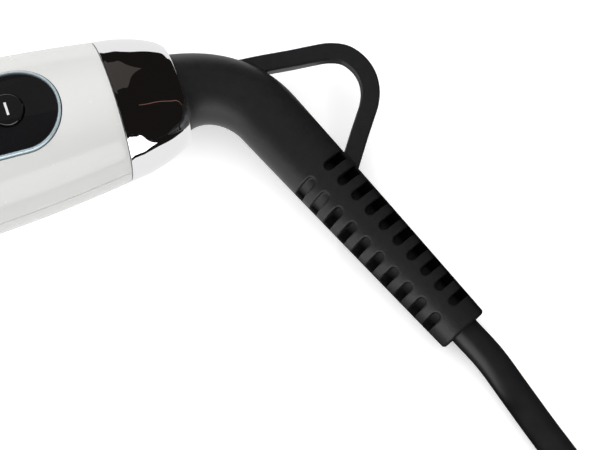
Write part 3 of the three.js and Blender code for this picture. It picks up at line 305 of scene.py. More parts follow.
def turned_skin(place):
    lines = place.stretched(22, 0.6, 0.6).noise(1, 3)
    stain = place.noise(30, 2).ramp(0.45, 0.75)
    return {
        "Base Color": stain.between((0.66, 0.655, 0.65), (0.60, 0.585, 0.57)),
        "Roughness": 0.17 + lines * 0.12,
        "Height": (lines, 0.004),
    }


def brushed_skin(place):
    lines = place.stretched(0.35, 16, 16).noise(1, 3)
    return one_grain(lines, [(0.58, 0.585, 0.595), (0.68, 0.685, 0.69)], 0.2, 0.16, 0.005)


def dull_steel_skin(place):
    spots = place.noise(0.8, 3)
    return one_grain(spots, [(0.36, 0.365, 0.375), (0.5, 0.505, 0.515)], 0.28, 0.16, 0.006)


chrome = finish("chrome", (0.86, 0.865, 0.88), 0.05, metallic=1.0, pattern=chrome_skin)
barrel_steel = finish("barrel_steel", (0.63, 0.62, 0.61), 0.2, metallic=0.7, pattern=turned_skin)
brushed_steel = finish("brushed_steel", (0.62, 0.62, 0.63), 0.26, metallic=0.7, pattern=brushed_skin)
dull_steel = finish("dull_steel", (0.42, 0.42, 0.43), 0.35, metallic=0.8, pattern=dull_steel_skin)

# %% [markdown]
# ## Rubber, cord and black plastic
#
# The boot is soft black moulded rubber. Close to, its skin is a fine mottled grain left by a spark-eroded
# mould, which breaks a highlight into specks. The cord's jacket is smoother and glossier, with faint lines
# along it from the die. The hard black plastic has a spark-eroded grain too, but coarser and lower.

# %% Rubber, cord and black plastic
def rubber_skin(place):
    grain = place.noise(0.34, 3, 0.6)
    mottle = place.noise(1.6, 2)
    return {
        "Base Color": mottle.between((0.008, 0.0083, 0.0095), (0.014, 0.0144, 0.0156)),
        "Roughness": 0.40 + mottle * 0.14,
        "Height": (grain + mottle * 0.6, 0.055),
    }


def jacket_skin(place):
    grain = place.noise(0.5, 2)
    mottle = place.noise(4, 2)
    return {
        "Base Color": mottle.between((0.007, 0.007, 0.0078), (0.011, 0.011, 0.012)),
        "Roughness": 0.34 + mottle * 0.1,
        "Height": (grain, 0.018),
    }


def black_plastic_skin(place):
    grain = place.cells(0.45)
    return {
        "Base Color": place.noise(9, 2).between((0.014, 0.014, 0.015), (0.022, 0.022, 0.023)),
        "Roughness": 0.42 + grain * 0.12,
        "Height": (grain, 0.02),
    }


def strap_skin(place):
    loops = place.cells(0.5, "SMOOTH_F1")
    weave = place.wave(0.7, "X") * place.wave(0.7, "Y")
    return {
        "Base Color": weave.between((0.008, 0.008, 0.009), (0.03, 0.03, 0.032)),
        "Roughness": 0.75 + loops * 0.2,
        "Height": (loops + weave, 0.12),
    }


boot_rubber = finish("boot_rubber", (0.014, 0.0145, 0.016), 0.46, pattern=rubber_skin)
cord_jacket = finish("cord_jacket", (0.013, 0.013, 0.014), 0.4, pattern=jacket_skin)
black_plastic = finish("black_plastic", (0.018, 0.018, 0.019), 0.45, pattern=black_plastic_skin)
strap_weave = finish("strap_weave", (0.02, 0.02, 0.02), 0.85, pattern=strap_skin)

# %% [markdown]
# ## The panel's black gloss
#
# The control panel is a black lens, printed from behind, with a hard clear coat. Its bezel is plated and
# has a cool tint. It is only half metallic, so its pale colour also stands in as a painted reflection. The
# marks on the keys are printed in a soft white ink.

# %% Panel finishes
def lens_skin(place):
    dust = place.noise(0.7, 2).ramp(0.62, 0.8)
    return {
        "Roughness": 0.05 + dust * 0.08,
        "Base Color": place.noise(12, 1).between((0.006, 0.006, 0.007), (0.010, 0.010, 0.011)),
    }


def bezel_tint_and_reflection_skin(place):
    return {
        "Roughness": 0.22 + place.noise(3, 2) * 0.1,
        "Base Color": place.noise(6, 1).between((0.58, 0.71, 0.77), (0.66, 0.78, 0.83)),
    }


def ink_skin(place):
    return {
        "Roughness": 0.5 + place.noise(0.4, 2) * 0.2,
        "Base Color": place.noise(0.8, 2).between((0.60, 0.62, 0.64), (0.72, 0.73, 0.74)),
    }


black_gloss = finish(
    "black_gloss", (0.008, 0.008, 0.009), 0.06, coat=1.0, coat_roughness=0.03, pattern=lens_skin
)
# Painted reflection: half metallic, with a pale blue base colour, so the bezel shows bright under the fill light.
bezel_metal = finish("bezel_metal", (0.58, 0.68, 0.74), 0.25, metallic=0.5, pattern=bezel_tint_and_reflection_skin)
mark_ink = finish("mark_ink", (0.66, 0.67, 0.68), 0.6, pattern=ink_skin)

# %% [markdown]
# ## What is inside
#
# Nobody sees the heater and the board on a whole iron, but they are part of it. Each gets the finish that
# its material has: drawn aluminium, unglazed ceramic, solder mask with copper under it, silicone leads and
# brass.

# %% Inside finishes
def aluminium_skin(place):
    return one_grain(place.stretched(0.2, 9, 9).noise(1, 2), None, 0.32, 0.2, 0.008)


def ceramic_skin(place):
    return one_grain(place.noise(0.6, 4), [(0.66, 0.61, 0.52), (0.78, 0.74, 0.66)], 0.65, 0.2, 0.03)


def board_skin(place):
    brick = {"Vector": place, "Scale": 0.35, "Mortar Size": 0.03}
    tracks = place.node("TexBrick", None, brick, output=1)
    return {
        "Base Color": tracks.between((0.015, 0.10, 0.045), (0.05, 0.22, 0.09)),
        "Roughness": 0.3 + place.noise(1, 2) * 0.2,
        "Height": (tracks, 0.03),
    }


def grey_skin(place):
    return one_grain(place.noise(0.5, 2), None, 0.4, 0.2, 0.02)


def lead_skin(place):
    return one_grain(place.noise(2, 2), [(0.26, 0.02, 0.015), (0.36, 0.04, 0.03)], 0.4, 0.2)


def brass_skin(place):
    return one_grain(place.noise(1.5, 3), [(0.52, 0.36, 0.13), (0.72, 0.55, 0.26)], 0.2, 0.2)


aluminium = finish("aluminium", (0.62, 0.63, 0.65), 0.4, metallic=1.0, pattern=aluminium_skin)
ceramic = finish("ceramic", (0.72, 0.68, 0.6), 0.75, pattern=ceramic_skin)
board_mask = finish("board_mask", (0.02, 0.13, 0.06), 0.4, pattern=board_skin)
grey_plastic = finish("grey_plastic", (0.16, 0.165, 0.17), 0.5, pattern=grey_skin)
lead_silicone = finish("lead_silicone", (0.3, 0.03, 0.02), 0.5, pattern=lead_skin)
brass = finish("brass", (0.62, 0.46, 0.2), 0.3, metallic=1.0, pattern=brass_skin)

# %% [markdown]
# ## Making pieces
#
# Every piece is drawn in millimetres in a frame of its own, and turned into metres once, when its mesh is
# made. Three forms cover most of the iron: something turned on a lathe, a section swept along a line, and
# a sheet laid out as a grid. Each returns a mesh, and one function gives it a finish, a place and a body
# to ride on.

# %% Mesh helpers
def mesh_of(name, points, faces):
    """A mesh from points in millimetres."""
    mesh = bpy.data.meshes.new(name)
    mesh.from_pydata([Vector(point) * MM for point in points], [], faces)
    mesh.validate()
    return mesh


def smoothed(mesh, angle=35):
    """Smooth shading, with an edge left sharp where it turns by more than the angle."""
    mesh.shade_smooth()
    mesh.set_sharp_from_angle(angle=math.radians(angle))
    return mesh


def add_piece(mesh, material, body, stands_for=(), place=IRON, angle=35):
    """A finished piece: its name is its mesh's name."""
    piece = linked(mesh.name, smoothed(mesh, angle))
    piece.matrix_world = place
    mesh.materials.clear()
    mesh.materials.append(material)
    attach(piece, body)
    if stands_for:
        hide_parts(*stands_for)
    print("piece", piece.name, "has", len(mesh.polygons), "faces")
    return piece


def softened(points, radius, steps=4, closed=False):
    """The same outline, each corner turned into a small curve."""
    points = [Vector(point) for point in points]
    made = []
    for i, corner in enumerate(points):
        if not closed and i in (0, len(points) - 1):
            made.append(corner)
            continue
        before = points[i - 1]
        after = points[(i + 1) % len(points)]
        start = corner + (before - corner).normalized() * min(radius, (before - corner).length / 2.1)
        end = corner + (after - corner).normalized() * min(radius, (after - corner).length / 2.1)
        for step in range(steps + 1):
            t = step / steps
            made.append(start * (1 - t) ** 2 + corner * 2 * t * (1 - t) + end * t * t)
    return made


def ring_faces(rows, sides, closed_rows=False, closed_sides=True, caps=False):
    """The quads of a grid of rows with that many points each. Caps close its first and last row."""
    faces = []
    for row in range(rows if closed_rows else rows - 1):
        for side in range(sides if closed_sides else sides - 1):
            a, b = row * sides + side, row * sides + (side + 1) % sides
            c, d = (row + 1) % rows * sides + (side + 1) % sides, (row + 1) % rows * sides + side
            faces.append((a, b, c, d))
    if caps:
        faces += [tuple(range(sides)), tuple(range((rows - 1) * sides, rows * sides))]
    return faces


def outward(mesh):
    """The same mesh with its faces turned out and doubled points merged."""
    work = bmesh.new()
    work.from_mesh(mesh)
    bmesh.ops.remove_doubles(work, verts=work.verts, dist=1e-7)
    bmesh.ops.recalc_face_normals(work, faces=work.faces)
    work.to_mesh(mesh)
    work.free()
    return mesh


def lathe(name, profile, sides=96, closed=False):
    """A profile of (x, radius) turned about X, either with flat ends or closed as a ring."""
    points = []
    for x, radius in profile:
        for side in range(sides):
            angle = 2 * math.pi * side / sides
            points.append((x, radius * math.cos(angle), radius * math.sin(angle)))
    faces = ring_faces(len(profile), sides, closed_rows=closed, caps=not closed)
    return outward(mesh_of(name, points, faces))


def sweep(name, line, section, up=Vector((0, 0, 1)), closed=False):
    """A section of (side, height) points, swept along a line."""
    line = [Vector(point) for point in line]
    count = len(line)
    points = []
    for i, centre in enumerate(line):
        before = line[i - 1] if closed or i else line[0]
        after = line[(i + 1) % count] if closed or i < count - 1 else line[-1]
        heading = (after - before).normalized()
        side_way = up.cross(heading).normalized()
        height_way = heading.cross(side_way)
        points += [centre + side_way * a + height_way * b for a, b in section]
    faces = ring_faces(count, len(section), closed_rows=closed, caps=not closed)
    return outward(mesh_of(name, points, faces))


def prism(name, outline, low, high):
    """An outline of (x, y) points, extruded from one height to another."""
    points = [(x, y, level) for level in (low, high) for x, y in outline]
    return outward(mesh_of(name, points, ring_faces(2, len(outline), caps=True)))


def disc(radius, sides=48, centre=(0, 0)):
    turns = [2 * math.pi * i / sides for i in range(sides)]
    return [(centre[0] + radius * math.cos(a), centre[1] + radius * math.sin(a)) for a in turns]


def box_outline(half_width, half_height, radius, steps=4):
    corners = [(half_width * a, half_height * b) for a, b in ((1, 1), (-1, 1), (-1, -1), (1, -1))]
    return softened(corners, radius, steps, closed=True)


def placed(mesh, matrix):
    """The mesh moved by a matrix whose move is in millimetres."""
    matrix = matrix.copy()
    matrix.translation = matrix.translation * MM
    mesh.transform(matrix)
    return mesh


def together(name, meshes):
    """Several meshes as one, not yet joined where they cross."""
    work = bmesh.new()
    for mesh in meshes:
        work.from_mesh(mesh)
    made = bpy.data.meshes.new(name)
    work.to_mesh(made)
    work.free()
    return made


def applied(blank):
    """The mesh that a blank's modifiers make. The blank itself goes."""
    graph = bpy.context.evaluated_depsgraph_get()
    made = bpy.data.meshes.new_from_object(blank.evaluated_get(graph), depsgraph=graph)
    bpy.data.objects.remove(blank)
    return made


def carved(mesh, tool, operation="DIFFERENCE"):
    """One closed mesh cut by another, or joined to it. The result takes over the mesh's name."""
    body, cutter = linked("body_blank", mesh), linked("tool_blank", tool)
    modifier = body.modifiers.new("cut", "BOOLEAN")
    modifier.operation = operation
    modifier.solver = "EXACT"
    modifier.object = cutter
    made = applied(body)
    bpy.data.objects.remove(cutter)
    name, mesh.name = mesh.name, "blank"
    made.name = name
    return made


def bevelled(piece, width, segments=2, angle=30, hardened=True):
    """Small rounds on a piece's edges, as moulding and stamping leave them."""
    modifier = piece.modifiers.new("edge_round", "BEVEL")
    modifier.width = width * MM
    modifier.segments = segments
    modifier.limit_method = "ANGLE"
    modifier.angle_limit = math.radians(angle)
    modifier.harden_normals = hardened
    return piece


def formed(name, mesh, rounding, segments=2, wall=0, offset=-1):
    """A mesh with rounded edges. An open sheet first gets a wall."""
    blank = linked("form_blank", mesh)
    if wall:
        solid = blank.modifiers.new("wall", "SOLIDIFY")
        solid.thickness = wall * MM
        solid.offset = offset
        solid.use_even_offset = True
    made = applied(bevelled(blank, rounding, segments, 50, hardened=False))
    made.name = name
    return made


def spline(points, per_piece=8):
    """A smooth line through the points: a centripetal Catmull-Rom curve, which makes no loops."""
    points = [Vector(point) for point in points]
    first, last = points[0] * 2 - points[1], points[-1] * 2 - points[-2]
    run = [first, *points, last]
    made = []
    for i in range(1, len(run) - 2):
        p0, p1, p2, p3 = run[i - 1:i + 3]
        t1 = math.sqrt((p1 - p0).length)
        t2 = t1 + math.sqrt((p2 - p1).length)
        t3 = t2 + math.sqrt((p3 - p2).length)
        for step in range(per_piece):
            t = t1 + (t2 - t1) * step / per_piece
            a1 = p0 * ((t1 - t) / t1) + p1 * (t / t1)
            a2 = p1 * ((t2 - t) / (t2 - t1)) + p2 * ((t - t1) / (t2 - t1))
            a3 = p2 * ((t3 - t) / (t3 - t2)) + p3 * ((t - t2) / (t3 - t2))
            b1 = a1 * ((t2 - t) / t2) + a2 * (t / t2)
            b2 = a2 * ((t3 - t) / (t3 - t1)) + a3 * ((t - t1) / (t3 - t1))
            made.append(b1 * ((t2 - t) / (t2 - t1)) + b2 * ((t - t1) / (t2 - t1)))
    return [*made, points[-1]]

# %% [markdown]
# ## The cord
#
# A mains cord has a fixed length, here 1.8 m, and can't stretch. It leaves the boot level, sinks onto the
# table, and the spare length is wound into a coil of six and a quarter turns. It could be drawn by eye,
# but then its length would be an accident. So the free stretches pass through a few chosen points, and a
# loop works out the turns: four beside each other below, and three more on top of them.
#
# The turns keep one diameter apart. Each changes lane on the same side of the coil, the lower ones inwards
# and the upper ones outwards, and the climb between the layers has a third side to itself.

# %% The cord's route
CORD_LEVEL = CORD_RADIUS + 0.15
COIL_CENTRE = Vector((-34, -92, 0))
COIL_STRAND = 50
LANE = 6.9
LEAD_POINTS = [
    (5.6, -15.3, 4.05), (8.2, -24.5, CORD_LEVEL), (11, -34, CORD_LEVEL), (13.6, -42.5, CORD_LEVEL),
    (15.4, -49.5, CORD_LEVEL), (16, -54, CORD_LEVEL), (16, -60.7, CORD_LEVEL), (16, -76, CORD_LEVEL),
]
TAIL_POINTS = [
    (-78, -142, CORD_LEVEL), (-92, -140.8, CORD_LEVEL), (-105, -136.8, CORD_LEVEL),
    (-118, -129.8, CORD_LEVEL), (-130, -121.2, CORD_LEVEL), (-143, -112.2, CORD_LEVEL),
]
PLUG_ENTRY = Vector((-184, -96, 6.8))
PLUG_WAY = Vector((-1, 0.3, 0)).normalized()
PLUG_APPROACH = [(26, CORD_LEVEL), (14, CORD_LEVEL + 1.3), (5, PLUG_ENTRY.z - 0.1), (-2, PLUG_ENTRY.z)]
table_under_mouth = Matrix.Translation((mouth_point.x, mouth_point.y, 0))


def eased(turn, start, end):
    """0 before the start, 1 after the end, in degrees of the winding, and smooth between."""
    share = min(max((turn - start) / (end - start), 0), 1)
    return (1 - math.cos(math.pi * share)) / 2


def coil_point(turn):
    """The cord's middle after that many degrees of winding, clockwise from the side it comes in on."""
    inwards = sum(eased(turn, 360 * k + 220, 360 * k + 340) for k in (0, 1, 2))
    outwards = sum(eased(turn, 360 * k + 340, 360 * k + 450) for k in (3, 4, 5))
    climb = eased(turn, 3 * 360 + 100, 3 * 360 + 220)
    radius = COIL_STRAND - LANE * (inwards - outwards)
    angle = -math.radians(turn)
    level = CORD_LEVEL + LANE * climb
    return COIL_CENTRE + Vector((radius * math.cos(angle), radius * math.sin(angle), level))


def cord_route():
    mouth_level = mouth_point.z / MM
    start = [mouth_way * reach + Vector((0, 0, mouth_level)) for reach in (-3, GAP, 8)]
    start[-1].z = mouth_level - 0.8
    turns = [coil_point(10 * i) for i in range(226)]
    descent = [
        Vector((COIL_CENTRE.x - d, COIL_CENTRE.y - COIL_STRAND, CORD_LEVEL + LANE * (1 - eased(d, 12, 44))))
        for d in range(4, 41, 4)
    ]
    entry = [PLUG_ENTRY - PLUG_WAY * reach for reach, level in PLUG_APPROACH]
    for point, (reach, level) in zip(entry, PLUG_APPROACH):
        point.z = level
    lead = spline(start + LEAD_POINTS + turns[:1], 6)[:-1]
    tail = spline(turns[-1:] + descent + TAIL_POINTS + entry, 6)[1:]
    return [table_under_mouth @ (Vector(point) * MM) for point in lead + turns + tail]


route = cord_route()
cord_length = sum((b - a).length for a, b in zip(route, route[1:]))
print("cord: %.3f m in %d points" % (cord_length, len(route)))

# %% [markdown]
# The route becomes a curve with a round bevel: the curve's line is then the cord's true middle, which a
# mesh tube would hide, and the cord can be measured. Its ends run a little way into the boot and into the
# plug.

# %% The cord as a curve
line = bpy.data.curves.new("mains_cord", "CURVE")
line.dimensions = "3D"
line.bevel_depth = CORD_RADIUS * MM
line.bevel_resolution = 6
line.use_fill_caps = True
strand = line.splines.new("POLY")
strand.points.add(len(route) - 1)
for point, place in zip(strand.points, route):
    point.co = (*place, 1)
strand.use_smooth = True
cord = linked("mains_cord", line)
line.materials.append(cord_jacket)
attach(cord, "swivel")
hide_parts("cord_lead", "cord_coil", "cord_tail")

# %% [markdown]
# ## The tie
#
# A strap of hook-and-loop tape holds the turns together. It goes once round the bundle, and its free end
# lies over itself. It is a thin section swept round the bundle's own outline, which the coil's lanes give.

# %% The tie
TIE_WIDTH = 10
TIE_THICKNESS = 0.8
TIE_SLACK = 0.15
TIE_LIFT = 0.02
tie_place = table_under_mouth @ Matrix.Translation(COIL_CENTRE * MM)


def tie_line():
    inner = COIL_STRAND - 3 * LANE - CORD_RADIUS - TIE_THICKNESS / 2 - TIE_SLACK
    outer = COIL_STRAND + CORD_RADIUS + TIE_THICKNESS / 2 + TIE_SLACK
    low = TIE_THICKNESS / 2 + TIE_LIFT
    high = CORD_LEVEL + LANE + CORD_RADIUS + TIE_THICKNESS / 2 + 0.1
    upper_outer = COIL_STRAND - LANE + CORD_RADIUS + 0.8
    corners = [(-inner, low), (-inner, high), (-upper_outer, high), (-outer, 2 * CORD_LEVEL), (-outer, low)]
    return [Vector((x, 0, z)) for x, z in softened(corners, 2.6, 6, closed=True)]


def tie_band():
    section = box_outline(TIE_THICKNESS / 2, TIE_WIDTH / 2, 0.3)
    return sweep("cord_strap", tie_line(), section, up=Vector((0, 1, 0)), closed=True)


def tie_tail():
    """The free end, which lies on the band's top and sticks out a little past its outer edge."""
    high = CORD_LEVEL + LANE + CORD_RADIUS + 1.5 * TIE_THICKNESS + 0.14
    points = [(-28, 0, high), (-34, 0, high), (-42, 0, high), (-46.4, 0, high - 0.3), (-48.6, 0, high - 1.9)]
    section = box_outline(TIE_WIDTH / 2 - 0.2, TIE_THICKNESS / 2, 0.3)
    return sweep("cord_strap_end", spline(points, 5), section)


tie = add_piece(tie_band(), strap_weave, "swivel", ["cord_tie"], tie_place)
tie_end = add_piece(tie_tail(), strap_weave, "swivel", place=tie_place)

# %% [markdown]
# ## The cord boot
#
# One rubber moulding guides the cord out of the iron: an elbow, a hanging loop beside it, and a straight
# relief with ten slots on each side of a spine, so that it bends evenly. The slots are pockets. Between
# the pockets of its two faces a thin web is left, and the cord's own tube runs through them all.
#
# A moulded part has no razor edges, and its loop grows out of the elbow with small fillets. Cutting the
# slots with a boolean gives the shape but leaves hard edges. So the cut elbow, the tube and the loop are
# only laid into each other, and a fine voxel remesh fuses them. A round of smoothing then softens every
# edge alike.

# %% The boot's path and thickness
BOOT_ROOT_RADIUS = 8.5
BOOT_NECK_RADIUS = 7.3
NECK_REACH = 5
BOOT_TAPER = 1.15
MOUTH_ROUND = 0.45


def boot_point(s):
    """The place and the heading, s millimetres after the start of the bend."""
    if s <= 0:
        return Vector((s, 0, 0)), 0
    angle = min(s, ARC_LENGTH) / ELBOW_RADIUS
    on = max(s - ARC_LENGTH, 0)
    x = ELBOW_RADIUS * math.sin(angle) + on * math.cos(angle)
    y = -ELBOW_RADIUS * (1 - math.cos(angle)) - on * math.sin(angle)
    return Vector((x, y, 0)), angle


def boot_radius(s):
    """The boot narrows quickly out of the ring, then slowly to its mouth."""
    if s < 0:
        return BOOT_ROOT_RADIUS
    early = BOOT_NECK_RADIUS + (BOOT_ROOT_RADIUS - BOOT_NECK_RADIUS) * math.exp(-s / NECK_REACH)
    on = max(s - ARC_LENGTH, 0) / BOOT_STRAIGHT
    return early + (BOOT_END_RADIUS - BOOT_NECK_RADIUS) * on ** BOOT_TAPER


def boot_body():
    sides = 72
    rows = [-3.1 + 0.775 * i for i in range(5)] + [BOOT_LENGTH * i / 90 for i in range(1, 90)]
    rows += [BOOT_LENGTH - MOUTH_ROUND, BOOT_LENGTH]
    points = []
    for s in rows:
        centre, angle = boot_point(s)
        radius = boot_radius(s) - (MOUTH_ROUND if s == BOOT_LENGTH else 0)
        out_way = Vector((math.sin(angle), math.cos(angle), 0))
        for side in range(sides):
            turn = 2 * math.pi * side / sides
            rise = Vector((0, 0, radius * math.sin(turn)))
            points.append(centre + out_way * radius * math.cos(turn) + rise)
    return outward(mesh_of("boot_blank", points, ring_faces(len(rows), sides, caps=True)))


# %% The slots and the cord's tube
SLOT_COUNT = 10
SLOT_PITCH = 4.3
SLOT_WIDTH = 2.15
SLOT_FROM_END = 5.9
SPINE_HALF_WIDTH = 1.5
SLOT_TURN = math.radians(-16.5)
SLOT_WEB = 0.6
SLOT_REACH = 12
SHALLOW_DEPTH = 1.1
TUBE_RADIUS = CORD_RADIUS + 0.35
relief = Matrix.Translation(MOUTH) @ Matrix.Rotation(math.pi - ELBOW_ANGLE, 4, "Z")
relief = relief @ Matrix.Rotation(SLOT_TURN, 4, "X")


def slot_outline(x, side):
    """A slot's plan: round at the spine, and open past the boot's edge."""
    half = SLOT_WIDTH / 2
    inner = SPINE_HALF_WIDTH + half
    turns = [math.pi * i / 10 for i in range(11)]
    rounded = [(x + half * math.cos(a), side * (inner - half * math.sin(a))) for a in turns]
    return rounded + [(x - half, side * SLOT_REACH), (x + half, side * SLOT_REACH)]


def slot_tools():
    """The pockets: on both sides of the spine, and on both faces of the web."""
    tools = []
    for i in range(SLOT_COUNT):
        x = SLOT_FROM_END + i * SLOT_PITCH
        for side in (-1, 1):
            for low, high in ((SLOT_WEB, SLOT_REACH), (-SLOT_REACH, -SLOT_WEB)):
                tools.append(prism("slot_tool", slot_outline(x, side), low, high))
    return placed(together("slot_tools", tools), relief)


def cord_tube():
    return placed(lathe("cord_tube", [(1.5, TUBE_RADIUS), (BOOT_STRAIGHT, TUBE_RADIUS)], 48), relief)


def shallow_floor():
    """The two slots nearest the elbow are shallow on one side: this fills them up to just under the skin."""
    start = SLOT_FROM_END + (SLOT_COUNT - 2) * SLOT_PITCH - SLOT_WIDTH
    end = start + SLOT_PITCH + 2 * SLOT_WIDTH
    radius = boot_radius(BOOT_LENGTH - start) - SHALLOW_DEPTH
    turns = [math.pi * i / 24 for i in range(25)]
    outline = [(radius * math.sin(a), radius * math.cos(a)) for a in turns]
    return placed(sweep("shallow_floor", [(start, 0, 0), (end, 0, 0)], outline), relief)


# %% [markdown]
# The loop is a flat strap of even width in the elbow's own plane. It leaves the elbow at a tangent, turns
# round a finger's width away, and comes back down onto the relief.

# %% The hanging loop
LOOP_WIDTH = 3.95
LOOP_THICKNESS = 3.2
LOOP_POINTS = [
    (13.5, 1.2), (18, 0.9), (22, 0.5), (26, 0.1), (30, -0.2), (34, -0.7), (37.2, -2.1), (39.3, -4.8),
    (40.2, -8), (39.9, -11.3), (38.6, -14.3), (36.5, -17.2), (34.1, -20.4), (31.8, -23.6), (28.8, -27.8),
]


def loop_strap():
    middle = spline([(x, y, 0) for x, y in LOOP_POINTS], 6)
    return sweep("loop_blank", middle, box_outline(LOOP_WIDTH / 2, LOOP_THICKNESS / 2, 0.55))


# %% [markdown]
# Deep in the slots the rubber is rougher, and it carries painted shade: the boot's base colour gets darker
# from its skin down to the web, which lies in the middle plane of the relief.

# %% The boot's finish, with painted shade in its slots
SKIN_RADII = (6.0, 7.2)
SLOTS_END = (46, 50)
WEB_TO_SKIN = (0.8, 4.4)


def slot_shaded_skin(place):
    """The rubber skin, with painted shade: darker where the place is inside the relief and near its web."""
    relief_way, _, web_way = relief.to_3x3().col
    from_mouth = place.vector_maths("SUBTRACT", MOUTH)
    level = from_mouth.vector_maths("DOT_PRODUCT", web_way, 1)
    reach = from_mouth.vector_maths("DOT_PRODUCT", relief_way, 1)
    out = from_mouth.vector_maths("CROSS_PRODUCT", relief_way).vector_maths("LENGTH", output=1)
    outside = place.maths("MAXIMUM", reach.ramp(*SLOTS_END), out.ramp(*SKIN_RADII))
    lit = place.maths("MAXIMUM", outside, level.maths("ABSOLUTE", level).ramp(*WEB_TO_SKIN))
    varies = rubber_skin(place)
    mottle = place.noise(1.6, 2) * 0.4 + 0.6
    # Painted shade: the base colour goes almost black deep in the slots, near the web, where lit is low.
    varies["Base Color"] = (lit * mottle).between((0.0008, 0.0008, 0.001), (0.0125, 0.0127, 0.0137))
    varies["Roughness"] = 1.0 - lit * (0.6 - mottle * 0.06)
    return varies


slot_shaded_rubber = finish("slot_shaded_rubber", (0.012, 0.0124, 0.0136), 0.46, pattern=slot_shaded_skin)

# %% The boot, fused
BOOT_VOXEL = 0.22


def fused_boot():
    cut = carved(boot_body(), slot_tools())
    parts = together("boot_parts", [cut, cord_tube(), shallow_floor(), loop_strap()])
    blank = linked("boot_blank", parts)
    fuse = blank.modifiers.new("fuse", "REMESH")
    fuse.mode = "VOXEL"
    fuse.voxel_size = BOOT_VOXEL * MM
    fuse.use_smooth_shade = True
    soften = blank.modifiers.new("soften", "SMOOTH")
    soften.factor = 0.5
    soften.iterations = 1
    mesh = applied(blank)
    bore = [(-4, CORD_RADIUS + 0.2), (3.4, CORD_RADIUS + 0.2)]
    mesh = carved(mesh, placed(lathe("mouth_bore", bore, 64), relief))
    mesh.name = "cord_boot_rubber"
    return mesh


add_piece(fused_boot(), slot_shaded_rubber, "swivel", ["cord_boot"], BOOT, angle=60)

# %% [markdown]
# ## The chrome ring
#
# The ring closes the handle's tail and holds the swivel. It is a cup with a hole for the boot, and its
# outside runs from the handle's line over a growing curve to a thin lip. What makes plating look real is
# the mirror's smoothness, so the profile is a fine smooth curve turned in many sides, with a small round
# at the seam that catches the light as a bright line.

# %% The ring
RING_OUTSIDE = [
    (0.75, 15.36), (2.4, 15.16), (4.2, 14.92), (7, 14.25), (9.8, 13.4), (11.8, 12.55), (13.2, 11.8),
    (14.1, 11.05),
]
RING_LENGTH = 14.6
RING_BORE = 8.9
RING_INSIDE = [(12.7, RING_BORE), (12.6, 10.4), (4, 10.4), (2, 11.3), (-6, 11.3), (-6, 12.85), (0.3, 12.85)]


def ring_profile():
    outside = spline(RING_OUTSIDE, 8)
    edge = softened([outside[-1], (RING_LENGTH, 10.6), (RING_LENGTH, RING_BORE + 0.4)], 0.3, 5)
    lip = softened([edge[-1], (RING_LENGTH, RING_BORE), (RING_LENGTH - 0.6, RING_BORE)], 0.35, 4)
    seam = softened([(0.1, 14.0), (0.1, 15.38), outside[0]], 0.22, 6)
    return seam[:-1] + outside[:-1] + edge[:-1] + lip + RING_INSIDE


ring = lathe("chrome_end_ring", ring_profile(), 192, closed=True)
add_piece(ring, chrome, "handle", ["end_ring"], angle=50)

# %% [markdown]
# ## The handle's shells
#
# The handle swells to a belly behind the panel, narrows to a waist and opens again at the barrel. It is
# split lengthwise just above its middle, so the upper shell is the shallower one. Each shell is laid out
# as a grid of points on the surface of revolution, from one parting edge to the other, and a Solidify
# modifier gives it its wall. The grid follows the parting line exactly, which a boolean would only chop.

# %% The handle's shape
BELLY_RADIUS = 18.6
BELLY_AT = 46
WAIST_RADIUS = 16.4
FRONT_RADIUS = BARREL_RADIUS + 4.7
WAIST_TO_FRONT = 32
SHELL_WALL = 2.2
PARTING_HEIGHT = 2.6
PARTING_GAP = 0.15
SHELL_EDGE = 0.12


def handle_radius(x):
    behind = -x
    waist = HANDLE_LENGTH - WAIST_TO_FRONT
    if behind < BELLY_AT:
        return BELLY_RADIUS - (BELLY_RADIUS - TAIL_RADIUS) * (1 - behind / BELLY_AT) ** 2
    if behind < waist:
        share = (1 - math.cos(math.pi * (behind - BELLY_AT) / (waist - BELLY_AT))) / 2
        return BELLY_RADIUS + (WAIST_RADIUS - BELLY_RADIUS) * share
    return WAIST_RADIUS + (FRONT_RADIUS - WAIST_RADIUS) * ((behind - waist) / WAIST_TO_FRONT) ** 2


def shell_grid(side, edge):
    """The outside of a shell, upper or lower, as a grid with rounded edges at the parting."""
    stations = [0, -SHELL_EDGE / 3, -SHELL_EDGE] + [-HANDLE_LENGTH * i / 100 for i in range(1, 100)]
    stations += [-HANDLE_LENGTH + SHELL_EDGE, -HANDLE_LENGTH + SHELL_EDGE / 3, -HANDLE_LENGTH]
    columns = 73
    points = []
    for x in stations:
        end = min(-x, HANDLE_LENGTH + x)
        radius = handle_radius(x) - SHELL_EDGE * max(0, 1 - end / SHELL_EDGE) ** 2
        start = math.asin(edge / radius)
        for column in range(columns):
            share = column / (columns - 1)
            angle = start + (side * math.pi - 2 * start) * share
            points.append((x, radius * math.cos(angle), radius * math.sin(angle)))
    return mesh_of("shell_grid", points, ring_faces(len(stations), columns, closed_sides=False))


def shell(name, side, edge):
    return formed(name, outward(shell_grid(side, edge)), 0.16, wall=SHELL_WALL)


# %% [markdown]
# The upper shell has a long round-ended window for the control panel, and the lower one has three
# countersunk bores with posts round them for the screws.

# %% The two shells
PANEL_FROM_TAIL = 11
PANEL_LENGTH = 82
PANEL_HALF_WIDTH = 9
PANEL_REAR = -PANEL_FROM_TAIL - PANEL_HALF_WIDTH
PANEL_FRONT = -(PANEL_FROM_TAIL + PANEL_LENGTH) + PANEL_HALF_WIDTH
SCREW_PLACES = [(-112, 0), (-50, -12.4), (-50, 12.4)]
SCREW_HEAD_LEVEL = -9


